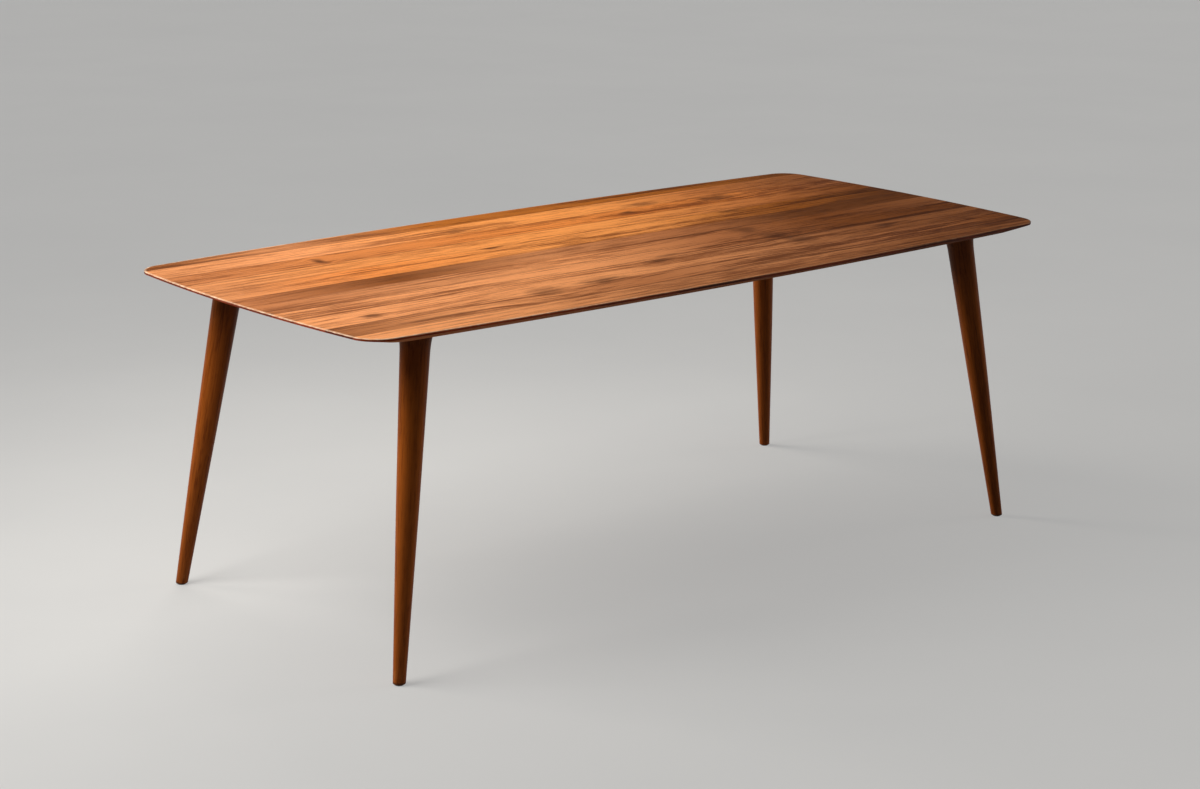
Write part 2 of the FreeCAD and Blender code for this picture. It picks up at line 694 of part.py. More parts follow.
def finished_leg(corner):
    """One leg: turned, tilted to its splay, trimmed level at both ends, its foot softened, and
    bored for bolt, insert, pins and pad."""
    corner_name, side, front = corner
    name = f"{corner_name}_leg"
    body = new_body(name)
    top_x, top_y = f"{side} * {LEG_X}", f"{front} * {LEG_Y}"
    foot_x = f"{side} * ({LEG_X} + Sizes.leg_splay_length)"
    foot_y = f"{front} * ({LEG_Y} + Sizes.leg_splay_width)"
    sketch = new_sketch(body, f"{name}_profile", "XZ_Plane")
    draw_leg_profile(sketch)
    # The blank starts below the foot by its waste, measured along the tilted axis
    waste = f"Sizes.leg_trim_allowance / {LEG_AXIS}"
    start_x = f"{foot_x} + {side} * Sizes.leg_splay_length * {waste}"
    start_y = f"{foot_y} + {front} * Sizes.leg_splay_width * {waste}"
    start_z = f"Sizes.pad_height - {LEG_HEIGHT} * {waste}"
    tilt_axis = f"vector({front} * Sizes.leg_splay_width; 0; {side} * Sizes.leg_splay_length)"
    tilt = f"rotation({tilt_axis}; atan({SPLAY} / {LEG_HEIGHT}))"
    start = f"vector({start_x}; {start_z}; -({start_y}))"
    sketch.setExpression("AttachmentOffset", f"placement({start}; {tilt})")
    doc.recompute()
    revolve(body, sketch, f"{name}_turning")
    spare = "2 * Sizes.leg_trim_allowance"
    trim(body, f"{name}_top_trim", ("2 * Sizes.leg_neck_diameter", spare), (top_x, top_y, UNDERSIDE))
    foot_trim = trim(body, f"{name}_foot_trim", ("2 * Sizes.leg_foot_diameter", spare),
                     (foot_x, foot_y, f"Sizes.pad_height - {spare}"))
    softened = body.newObject("PartDesign::Fillet", f"{name}_foot_edge")
    softened.Base = (foot_trim, edges_at_height(foot_trim.Shape, value("Sizes.pad_height")))
    softened.setExpression("Radius", "Sizes.foot_edge_radius")
    must_change(softened, foot_trim.Shape.Volume)
    room = "Sizes.fit_clearance"
    end_room = "Sizes.hole_end_room"
    bolt_depth = f"(Sizes.leg_bolt_length - Sizes.plate_thickness + {end_room})"
    bore(body, f"{name}_bolt_bore", f"Sizes.leg_bolt_diameter / 2 + {room}", bolt_depth,
         (top_x, top_y, f"{UNDERSIDE} - {bolt_depth}"))
    insert_depth = f"(Sizes.leg_insert_length + {room})"
    bore(body, f"{name}_insert_bore", f"Sizes.leg_insert_diameter / 2 + {room}", insert_depth,
         (top_x, top_y, f"{UNDERSIDE} - {insert_depth}"))
    pin_depth = f"(Sizes.leg_pin_length - Sizes.plate_thickness + {end_room})"
    for number, way in enumerate((-1, 1), start=1):
        pin_x = f"{top_x} + {way} * Sizes.leg_pin_pitch / 2"
        bore(body, f"{name}_pin_bore_{number}", f"Sizes.leg_pin_diameter / 2 + {room}", pin_depth,
             (pin_x, top_y, f"{UNDERSIDE} - {pin_depth}"))
    bore(body, f"{name}_pad_bore", f"Sizes.pad_stem_diameter / 2 + {room}",
         f"Sizes.pad_stem_length + {end_room}", (foot_x, foot_y, "Sizes.pad_height"))
    return body


def foot_pad(corner):
    """A hard pad under one foot, with a stem pressed into the leg."""
    name, side, front = corner
    place = (
        f"{side} * ({LEG_X} + Sizes.leg_splay_length)",
        f"{front} * ({LEG_Y} + Sizes.leg_splay_width)",
    )
    body = new_body(f"{name}_foot_pad", place)
    sketch = new_sketch(body, f"{name}_foot_pad_profile", "XZ_Plane")
    radius = "Sizes.pad_diameter / 2"
    stem = "Sizes.pad_stem_diameter / 2"
    tip = "Sizes.pad_height + Sizes.pad_stem_length"
    draw_polygon(sketch, [
        ("0", "0"), (f"{radius} - Sizes.pad_edge", "0"), (radius, "Sizes.pad_edge"),
        (radius, "Sizes.pad_height"), (stem, "Sizes.pad_height"), (stem, tip), ("0", tip),
    ])
    revolve(body, sketch, f"{name}_foot_pad_turning")
    return body


def flat_head_profile(shank, head, length):
    """Half profile of a flat-headed screw standing on its head, with a right-angled cone."""
    return [("0", "0"), (head, "0"), (shank, f"{head} - {shank}"), (shank, length), ("0", length)]


# Fasteners of the legs
screw_radius = "Sizes.plate_screw_diameter / 2"
plate_screws = turned_group(
    "plate_screws", PLATE_SCREW_PLACE, UNDERSIDE,
    flat_head_profile(screw_radius, "Sizes.plate_screw_head_diameter / 2", "Sizes.plate_screw_length"),
    at_each_plate_screw, ("Sizes.plate_socket_size", "Sizes.plate_socket_depth", UNDERSIDE, True),
)
insert_radius = "Sizes.top_insert_diameter / 2"
plate_insert_foot = f"({PLATE_TOP} + Sizes.recess_clearance)"
plate_inserts = turned_group(
    "plate_inserts", PLATE_SCREW_PLACE, plate_insert_foot,
    ring_profile(f"{screw_radius} + Sizes.fit_clearance", insert_radius, "Sizes.top_insert_length"),
    at_each_plate_screw,
)
bolt_radius = "Sizes.leg_bolt_diameter / 2"
bolt_head_radius = "Sizes.leg_bolt_head_diameter / 2"
bolt_cone = f"Sizes.leg_bolt_length - ({bolt_head_radius} - {bolt_radius})"
leg_bolts = turned_group(
    "leg_bolts", LEG_PLACE, f"{PLATE_TOP} - Sizes.leg_bolt_length",
    [("0", "0"), (bolt_radius, "0"), (bolt_radius, bolt_cone),
     (bolt_head_radius, "Sizes.leg_bolt_length"), ("0", "Sizes.leg_bolt_length")],
    on_all_four_sides,
    ("Sizes.bolt_socket_size", "Sizes.bolt_socket_depth", PLATE_TOP, False),
)
leg_inserts = turned_group(
    "leg_inserts", LEG_PLACE, f"{UNDERSIDE} - Sizes.leg_insert_length",
    ring_profile(f"{bolt_radius} + Sizes.fit_clearance", "Sizes.leg_insert_diameter / 2",
                 "Sizes.leg_insert_length"),
    on_all_four_sides,
)


def at_each_leg_pin(body):
    """Both pins of a leg, then the other three legs."""
    return [pattern(body, f"{body.Name}_pair", "X_Axis", "Sizes.leg_pin_pitch", 2)] + on_all_four_sides(body)


leg_pins = turned_group(
    "leg_pins", LEG_PIN_PLACE, f"{PLATE_TOP} - Sizes.leg_pin_length",
    rod_profile("Sizes.leg_pin_diameter / 2", "Sizes.leg_pin_length"), at_each_leg_pin,
)

# Fasteners of the channels
channel_screw_radius = "Sizes.channel_screw_diameter / 2"
channel_head_radius = "Sizes.channel_screw_head_diameter / 2"
channel_head = "Sizes.channel_screw_head_height"
channel_screw_length = f"{channel_head} + Sizes.channel_screw_grip"
channel_screw_foot = f"{UNDERSIDE} - Sizes.washer_thickness - {channel_head}"
channel_screws = turned_group(
    "channel_screws", CHANNEL_SCREW_PLACE, channel_screw_foot,
    [("0", "0"), (f"{channel_head_radius} - Sizes.channel_screw_head_dome", "0"),
     (channel_head_radius, "Sizes.channel_screw_head_dome"), (channel_head_radius, channel_head),
     (channel_screw_radius, channel_head), (channel_screw_radius, channel_screw_length),
     ("0", channel_screw_length)],
    at_each_channel_screw,
    ("Sizes.channel_socket_size", "Sizes.channel_socket_depth", channel_screw_foot, True),
)
channel_washers = turned_group(
    "channel_washers", CHANNEL_SCREW_PLACE, f"{UNDERSIDE} - Sizes.washer_thickness",
    ring_profile(f"{channel_screw_radius} + Sizes.fit_clearance", "Sizes.washer_diameter / 2",
                 "Sizes.washer_thickness"),
    at_each_channel_screw,
)
channel_insert_foot = f"({UNDERSIDE} + Sizes.channel_wall + Sizes.recess_clearance)"
channel_inserts = turned_group(
    "channel_inserts", CHANNEL_SCREW_PLACE, channel_insert_foot,
    ring_profile(f"{channel_screw_radius} + Sizes.fit_clearance", insert_radius,
                 "Sizes.top_insert_length"),
    at_each_channel_screw,
)

# Plates, channels, legs and pads
leg_plates = [leg_plate(corner) for corner in CORNERS]
channel_steps = range(-(CHANNELS // 2), CHANNELS // 2 + 1)
channels = [stiffener_channel(name, step) for name, step in zip(CHANNEL_NAMES, channel_steps)]
legs = [finished_leg(corner) for corner in CORNERS]
foot_pads = [foot_pad(corner) for corner in CORNERS]

# The top, recessed and drilled from below and then parted along its joints
tenons = edge_joint_tenons()
hole_radius = f"{insert_radius} + Sizes.fit_clearance"
hole_end = "Sizes.top_insert_length + Sizes.hole_end_room"
plate_insert_holes = turned_group(
    "plate_insert_holes", PLATE_SCREW_PLACE, UNDERSIDE,
    rod_profile(hole_radius, f"{plate_insert_foot} - {UNDERSIDE} + {hole_end}"), at_each_plate_screw,
)
channel_insert_holes = turned_group(
    "channel_insert_holes", CHANNEL_SCREW_PLACE, UNDERSIDE,
    rod_profile(hole_radius, f"{channel_insert_foot} - {UNDERSIDE} + {hole_end}"),
    at_each_channel_screw,
)
clearance = "Sizes.recess_clearance"
recesses = [plate_blank(f"{corner[0]}_plate_recess", corner, clearance) for corner in CORNERS]
grooves = [channel_blank(f"{name}_groove", step, clearance)
           for name, step in zip(CHANNEL_NAMES, channel_steps)]
cutters = gather("top_cutters", [tenons, plate_insert_holes, channel_insert_holes] + recesses + grooves)
drilled_top = combine("Part::Cut", "drilled_top", glued_up_top(), cutters)
doc.recompute()

staves = []
for number in range(1, STAVES + 1):
    spare = "Sizes.trim_allowance"
    before = f"({joint_line(number - 1)})" if number > 1 else f"(-{spare})"
    after = f"({joint_line(number)} + {spare})" if number == STAVES else joint_line(number)
    strip = block(
        f"stave_strip_{number}",
        (f"Sizes.top_length + 2 * {spare}", f"{after} - {before}", f"Sizes.top_thickness + 2 * {spare}"),
        (f"-Sizes.top_length / 2 - {spare}", f"{before} - {TOP_WIDTH} / 2", f"{UNDERSIDE} - {spare}"),
    )
    staves.append(combine("Part::Common", f"top_stave_{number}", drilled_top, strip))
doc.recompute()

pieces = staves + [tenons] + legs + leg_plates + channels + foot_pads
pieces += [plate_screws, plate_inserts, leg_bolts, leg_inserts, leg_pins]
pieces += [channel_screws, channel_washers, channel_inserts]

for thing in doc.Objects:
    if "Invalid" in thing.State or "Error" in thing.State:
        raise RuntimeError(f"{thing.Label} failed: {thing.State}")
for piece in pieces:
    if piece.Shape.isNull() or not piece.Shape.isValid() or not piece.Shape.Solids:
        raise RuntimeError(f"{piece.Label} has no valid solid")

os.makedirs("parts", exist_ok=True)
for piece in pieces:
    piece.Shape.exportStep(f"parts/{piece.Label}.step")
    print(piece.Label, len(piece.Shape.Solids), "solids", round(piece.Shape.Volume), "mm3")
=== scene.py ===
import math
import bmesh
import bpy
from mathutils import Matrix, Vector


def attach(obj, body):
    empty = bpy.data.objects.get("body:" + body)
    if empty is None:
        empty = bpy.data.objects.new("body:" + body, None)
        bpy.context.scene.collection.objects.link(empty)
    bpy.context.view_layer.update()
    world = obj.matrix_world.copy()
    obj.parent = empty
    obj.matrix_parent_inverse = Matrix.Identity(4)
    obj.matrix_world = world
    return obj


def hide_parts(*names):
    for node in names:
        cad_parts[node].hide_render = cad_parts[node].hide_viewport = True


# A dining table: a thin top of edge-glued staves, bevelled underneath, on four round tapered
# legs that splay outwards. Metres, in the frame of the CAD model: X along the length, the
# front long side towards -Y, the floor at Z = 0.

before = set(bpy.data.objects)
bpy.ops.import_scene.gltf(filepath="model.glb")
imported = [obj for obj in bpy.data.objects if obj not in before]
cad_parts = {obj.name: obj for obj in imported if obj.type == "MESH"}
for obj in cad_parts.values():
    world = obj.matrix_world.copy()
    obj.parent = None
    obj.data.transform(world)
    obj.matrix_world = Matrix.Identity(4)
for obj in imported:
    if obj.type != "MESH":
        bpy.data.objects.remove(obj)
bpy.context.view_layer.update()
scene = bpy.context.scene

MM = 0.001
QUARTER = math.pi / 2

# The top
TABLE_HEIGHT = 750 * MM
TOP_LENGTH = 2080 * MM
TOP_THICKNESS = 20 * MM
STAVE_WIDTHS = [width * MM for width in (86, 86, 102, 76, 90, 74, 100, 82, 86, 98, 70)]
TOP_WIDTH = sum(STAVE_WIDTHS)
UNDERSIDE = TABLE_HEIGHT - TOP_THICKNESS
SIDE_RADIUS = 16700 * MM
END_RADIUS = 4000 * MM
CORNER_RADIUS = 65 * MM
LIP_HEIGHT = 5.5 * MM
ARRIS_RADIUS = 2 * MM
SIDE_BEVEL_WIDTH = 31 * MM
END_BEVEL_WIDTH = 60 * MM
UNDERSIDE_CORNER_RADIUS = 60 * MM
WORN_BAND = 9 * MM
LIP_MARGIN = 0.1 * MM
END_STEPS = 40
CORNER_STEPS = 32
SIDE_STEPS = 72
ARRIS_STEPS = 6
BEVEL_STEPS = 4

# The legs
LEG_TOP = Vector((831 * MM, 345 * MM))
LEG_FOOT = Vector((938 * MM, 420 * MM))
PAD_HEIGHT = 2.5 * MM
FOOT_DIAMETER = 27.5 * MM
MIDDLE_DIAMETER = 48.6 * MM
NECK_DIAMETER = 63.4 * MM
FLARE_LENGTH = 48 * MM
FLARE_REACH = 6.2 * MM
FOOT_EDGE_RADIUS = 2 * MM
LEG_SIDES = 96
LEG_RINGS = 110
RING_CROWDING = 0.97
LEAN_PASSES = 3
CORNERS = {
    "front_left": (-1, -1), "front_right": (1, -1), "back_left": (-1, 1), "back_right": (1, 1),
}

# The steel in the underside
RECESS_CLEARANCE = 0.2 * MM
PLATE_LENGTH = 100 * MM
PLATE_WIDTH = 76 * MM
PLATE_THICKNESS = 5 * MM
PLATE_CORNER_RADIUS = 9 * MM
PLATE_SCREW_PITCH = (74 * MM, 52 * MM)
PLATE_SCREW_DIAMETER = 6 * MM
PLATE_SCREW_HEAD = 12 * MM
PLATE_SCREW_LENGTH = 12 * MM
PLATE_SOCKET = (4.6 * MM, 2 * MM)
CHANNEL_WIDTH = 40 * MM
CHANNEL_DEPTH = 10 * MM
CHANNEL_WALL = 3 * MM
CHANNEL_PITCH = 480 * MM
CHANNEL_FROM_SIDE = 130 * MM
CHANNEL_SCREW_PITCH = 170 * MM
CHANNEL_SCREW_DIAMETER = 6 * MM
CHANNEL_SCREW_HEAD = 11 * MM
CHANNEL_HEAD_HEIGHT = 3.3 * MM
CHANNEL_HEAD_DOME = 1.6 * MM
CHANNEL_SCREW_GRIP = 12 * MM
CHANNEL_SOCKET = (4.6 * MM, 2 * MM)
WASHER_DIAMETER = 16 * MM
WASHER_BORE = 6.2 * MM
WASHER_THICKNESS = 1.2 * MM
SCREW_SIDES = 32
CHANNELS = 3
SCREWS_PER_CHANNEL = 4

SHARP_ANGLE = math.radians(32)
WELD_DISTANCE = 0.001 * MM
CUT_TOLERANCE = 0.0001 * MM


# Meshes

def keep_mesh(name, mesh, slot, *nodes):
    """A finished piece: it stands for CAD nodes and rides on the table. Its slot is not used."""
    piece = bpy.data.objects.new(name, mesh)
    scene.collection.objects.link(piece)
    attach(piece, "root")
    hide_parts(*nodes)


def tidy_shell(shell):
    """Faces outwards, smooth over gentle bends and crisp at real edges."""
    bmesh.ops.recalc_face_normals(shell, faces=shell.faces)
    for face in shell.faces:
        face.smooth = True
    for edge in shell.edges:
        edge.smooth = edge.calc_face_angle(math.pi) < SHARP_ANGLE


def mesh_from(shell, name):
    mesh = bpy.data.meshes.new(name)
    shell.to_mesh(mesh)
    shell.free()
    return mesh


def forget(thing):
    mesh = thing.data
    bpy.data.objects.remove(thing)
    bpy.data.meshes.remove(mesh)


def settle_modifiers(thing):
    """The mesh that an object's modifiers give, as plain mesh data; the object itself goes."""
    bpy.context.view_layer.update()
    seen = thing.evaluated_get(bpy.context.evaluated_depsgraph_get())
    mesh = bpy.data.meshes.new_from_object(seen)
    thing.modifiers.clear()
    forget(thing)
    return mesh


# The top

def outline_arcs(half_length, half_width, corner):
    """Centre, radius, start, stop and steps of the eight arcs around the top, from the right end."""
    side_centre = half_width - SIDE_RADIUS
    end_centre = half_length - END_RADIUS
    apart = math.hypot(end_centre, side_centre)
    side = SIDE_RADIUS - corner
    end = END_RADIUS - corner
    reach = (side ** 2 - end ** 2 + apart ** 2) / (2 * apart)
    rise = math.sqrt(side ** 2 - reach ** 2)
    toward_x = end_centre / apart
    toward_y = -side_centre / apart
    corner_x = toward_x * reach + toward_y * rise
    corner_y = side_centre + toward_y * reach - toward_x * rise
    side_turn = math.acos((corner_y - side_centre) / side)
    end_turn = math.asin(corner_y / end)
    stops = [end_turn, QUARTER - side_turn, QUARTER + side_turn, 2 * QUARTER - end_turn]
    stops += [stop + 2 * QUARTER for stop in stops]
    centres = [
        (end_centre, 0), (corner_x, corner_y), (0, side_centre), (-corner_x, corner_y),
        (-end_centre, 0), (-corner_x, -corner_y), (0, -side_centre), (corner_x, -corner_y),
    ]
    radii = [END_RADIUS, corner, SIDE_RADIUS, corner] * 2
    steps = [END_STEPS, CORNER_STEPS, SIDE_STEPS, CORNER_STEPS] * 2
    starts = [-end_turn] + stops[:-1]
    return list(zip(centres, radii, starts, stops, steps))


def outline_ring(arcs, height, inset=0.0):
    """Points around the top at one height, stepped in from the outline by an inset."""
    ring = []
    for (across, up), radius, start, stop, steps in arcs:
        for step in range(steps):
            turn = start + (stop - start) * step / steps
            reach = radius - inset
            ring.append(Vector((across + reach * math.cos(turn), up + reach * math.sin(turn), height)))
    return ring


def top_rings():
    """Rings from the flat of the top over the arris, down the lip and in along the bevel."""
    edge = outline_arcs(TOP_LENGTH / 2, TOP_WIDTH / 2, CORNER_RADIUS)
    rings = [outline_ring(edge, TABLE_HEIGHT, WORN_BAND)]
    for step in range(ARRIS_STEPS + 1):
        turn = QUARTER * step / ARRIS_STEPS
        drop = ARRIS_RADIUS * (1 - math.cos(turn))
        rings.append(outline_ring(edge, TABLE_HEIGHT - drop, ARRIS_RADIUS * (1 - math.sin(turn))))
    lip = outline_ring(edge, TABLE_HEIGHT - LIP_HEIGHT)
    rings.append(lip)
    flat_edge = outline_arcs(
        TOP_LENGTH / 2 - END_BEVEL_WIDTH, TOP_WIDTH / 2 - SIDE_BEVEL_WIDTH, UNDERSIDE_CORNER_RADIUS)
    flat = outline_ring(flat_edge, UNDERSIDE)
    for step in range(1, BEVEL_STEPS + 1):
        rings.append([start.lerp(stop, step / BEVEL_STEPS) for start, stop in zip(lip, flat)])
    return rings


def add_shell(shell, rings):
    """A closed skin through rings of points, from the top down, capped at both ends."""
    rows = [[shell.verts.new(point) for point in ring] for ring in rings]
    for upper, lower in zip(rows, rows[1:]):
        for place in range(len(upper)):
            following = (place + 1) % len(upper)
            shell.faces.new((upper[place], lower[place], lower[following], upper[following]))
    shell.faces.new(rows[0])
    shell.faces.new(reversed(rows[-1]))


def add_prism(shell, outline, low, high):
    """A straight block between two heights over a flat outline."""
    add_shell(shell, [[(x, y, height) for x, y in outline] for height in (high, low)])


def rounded_rectangle(centre, length, width, radius, steps=10):
    points = []
    for quarter in range(4):
        side = 1 if quarter in (0, 3) else -1
        front = 1 if quarter in (0, 1) else -1
        across = centre[0] + side * (length / 2 - radius)
        up = centre[1] + front * (width / 2 - radius)
        for step in range(steps + 1):
            turn = QUARTER * (quarter + step / steps)
            points.append((across + radius * math.cos(turn), up + radius * math.sin(turn)))
    return points


def rectangle(low_x, high_x, low_y, high_y):
    return [(low_x, low_y), (high_x, low_y), (high_x, high_y), (low_x, high_y)]


def recess_tools():
    """The shapes that the router takes out of the underside: a recess for each leg plate and a
    groove for each channel, its web shallow and its two flanges deep."""
    room = RECESS_CLEARANCE
    plates = bmesh.new()
    webs = bmesh.new()
    flanges = bmesh.new()
    for side, front in CORNERS.values():
        outline = rounded_rectangle(
            (side * LEG_TOP.x, front * LEG_TOP.y), PLATE_LENGTH + 2 * room, PLATE_WIDTH + 2 * room,
            PLATE_CORNER_RADIUS + room)
        add_prism(plates, outline, UNDERSIDE - room, UNDERSIDE + PLATE_THICKNESS + room)
    reach = TOP_WIDTH / 2 - CHANNEL_FROM_SIDE + room
    outer = CHANNEL_WIDTH / 2 + room
    inner = CHANNEL_WIDTH / 2 - CHANNEL_WALL - room
    for step in range(CHANNELS):
        middle = (step - CHANNELS // 2) * CHANNEL_PITCH
        web = rectangle(middle - outer, middle + outer, -reach, reach)
        add_prism(webs, web, UNDERSIDE - room, UNDERSIDE + CHANNEL_WALL + room)
        for low, high in ((-outer, -inner), (inner, outer)):
            flange = rectangle(middle + low, middle + high, -reach, reach)
            add_prism(flanges, flange, UNDERSIDE - room, UNDERSIDE + CHANNEL_DEPTH + room)
    return {"plate_recesses": plates, "channel_webs": webs, "channel_flanges": flanges}


def routed_top():
    """The whole top, routed from below for the plates and the channels."""
    top = bmesh.new()
    add_shell(top, top_rings())
    mesh = mesh_from(top, "glued_up_top")
    for name, shell in recess_tools().items():
        blank = bpy.data.objects.new("routed_top", mesh)
        tool = bpy.data.objects.new(name, mesh_from(shell, name))
        for thing in (blank, tool):
            scene.collection.objects.link(thing)
        cut = blank.modifiers.new(name, "BOOLEAN")
        cut.operation = "DIFFERENCE"
        cut.solver = "EXACT"
        cut.object = tool
        mesh = settle_modifiers(blank)
        forget(tool)
    return mesh


def wear_and_highlight_at(place, arcs):
    """1 on the arris and the lip, fading to nothing across the worn band of the top: the reach of the pale
    wear and painted highlight.
    """
    nearest = 1.0
    for (across, up), radius, _, _, _ in arcs:
        if radius > CORNER_RADIUS:
            nearest = min(nearest, radius - math.hypot(place.x - across, place.y - up))
    across, up = (abs(part) for part in arcs[1][0])
    if abs(place.x) > across and abs(place.y) > up:
        nearest = min(nearest, CORNER_RADIUS - math.hypot(abs(place.x) - across, abs(place.y) - up))
    inside = (nearest - ARRIS_RADIUS) / (WORN_BAND - ARRIS_RADIUS)
    above_lip = place.z > TABLE_HEIGHT - LIP_HEIGHT - LIP_MARGIN
    return min(max(1 - inside, 0.0), 1.0) if above_lip else 0.0


def part_into_staves(top):
    """Cut the top along its joints and close each stave."""
    arcs = outline_arcs(TOP_LENGTH / 2, TOP_WIDTH / 2, CORNER_RADIUS)
    joint = -TOP_WIDTH / 2
    staves = []
    for number, width in enumerate(STAVE_WIDTHS, start=1):
        shell = bmesh.new()
        shell.from_mesh(top)
        for side, at in ((1, joint), (-1, joint + width)):
            if abs(at) > TOP_WIDTH / 2 - CUT_TOLERANCE:
                continue
            parts = shell.verts[:] + shell.edges[:] + shell.faces[:]
            bmesh.ops.bisect_plane(
                shell, geom=parts, dist=CUT_TOLERANCE, plane_co=(0, at, 0), plane_no=(0, side, 0),
                clear_inner=True)
            rim = [edge for edge in shell.edges if edge.is_boundary]
            bmesh.ops.triangle_fill(shell, edges=rim, use_beauty=True)
        tidy_shell(shell)
        wear = shell.verts.layers.float.new("wear")
        for vertex in shell.verts:
            vertex[wear] = wear_and_highlight_at(vertex.co, arcs)
        mesh = mesh_from(shell, f"finished_stave_{number}")
        staves.append((number, joint + width / 2, mesh))
        joint += width
    return staves


# Node trees

class Nodes:
    """A node tree under construction: short calls that add a node and give its socket."""

    def __init__(self, tree):
        self.tree = tree

    def node(self, kind, inputs=None, **settings):
        """A new node, its inputs linked to sockets or set to plain amounts."""
        node = self.tree.nodes.new(kind)
        for name, setting in settings.items():
            setattr(node, name, setting)
        for name, item in (inputs or {}).items():
            if isinstance(item, bpy.types.NodeSocket):
                self.tree.links.new(item, node.inputs[name])
            else:
                node.inputs[name].default_value = item
        return node

    def calc(self, operation, *items):
        return self.node("ShaderNodeMath", dict(enumerate(items)), operation=operation).outputs[0]

    def plus(self, first, second):
        return self.calc("ADD", first, second)

    def minus(self, first, second):
        return self.calc("SUBTRACT", first, second)

    def times(self, first, second):
        return self.calc("MULTIPLY", first, second)

    def over(self, first, second):
        return self.calc("DIVIDE", first, second)

    def times_plus(self, first, second, extra):
        return self.calc("MULTIPLY_ADD", first, second, extra)

    def root(self, item):
        return self.calc("SQRT", item)

    def squares(self, first, second):
        return self.times_plus(first, first, self.times(second, second))

    def split(self, place):
        return self.node("ShaderNodeSeparateXYZ", {0: place}).outputs

    def join(self, x, y, z):
        return self.node("ShaderNodeCombineXYZ", {0: x, 1: y, 2: z}).outputs[0]

    def ramp(self, item, stops, smooth="LINEAR"):
        """Colours or greys that an item runs through, each with its place from 0 to 1."""
        node = self.node("ShaderNodeValToRGB", {"Fac": item})
        scale = node.color_ramp
        scale.interpolation = smooth
        while len(scale.elements) < len(stops):
            scale.elements.new(1.0)
        for element, (at, colour) in zip(scale.elements, stops):
            element.position = at
            element.color = (*colour, 1.0) if isinstance(colour, tuple) else (colour, colour, colour, 1.0)
        return node.outputs["Color"]


class Rule(Nodes):
    """A geometry node tree whose named inputs are the sizes of what it makes."""

    def __init__(self, name):
        super().__init__(bpy.data.node_groups.new(name, "GeometryNodeTree"))
        for way in ("INPUT", "OUTPUT"):
            self.tree.interface.new_socket(name="Geometry", in_out=way, socket_type="NodeSocketGeometry")
        self.inputs = self.tree.nodes.new("NodeGroupInput")
        self.result = self.tree.nodes.new("NodeGroupOutput")
        self.sizes = {}

    def size(self, name, amount, kind="NodeSocketFloat"):
        """A named input of the tree, and the amount that this table has for it."""
        socket = self.tree.interface.new_socket(name=name, in_out="INPUT", socket_type=kind)
        self.sizes[socket.identifier] = amount
        return self.inputs.outputs[name]

    def radius(self, name, diameter):
        return self.over(self.size(name, diameter), 2)

    def count(self, name, amount):
        return self.size(name, amount, "NodeSocketInt")

    def finish(self, geometry, material):
        """End in Realize Instances and Set Material, and give the whole rule."""
        plain = self.node("GeometryNodeRealizeInstances", {"Geometry": geometry}).outputs[0]
        dressed = self.node("GeometryNodeSetMaterial", {"Geometry": plain, "Material": material}).outputs[0]
        self.tree.links.new(dressed, self.result.inputs[0])
        return self

    def make_mesh(self, name):
        """Run the tree once and keep what it makes as plain mesh data."""
        thing = bpy.data.objects.new(name, bpy.data.meshes.new(name))
        scene.collection.objects.link(thing)
        rule = thing.modifiers.new(name, "NODES")
        rule.node_group = self.tree
        for identifier, amount in self.sizes.items():
            rule[identifier] = amount
        mesh = settle_modifiers(thing)
        shell = bmesh.new()
        shell.from_mesh(mesh)
        bmesh.ops.remove_doubles(shell, verts=shell.verts, dist=WELD_DISTANCE)
        tidy_shell(shell)
        shell.to_mesh(mesh)
        shell.free()
        mesh.name = name
        return mesh


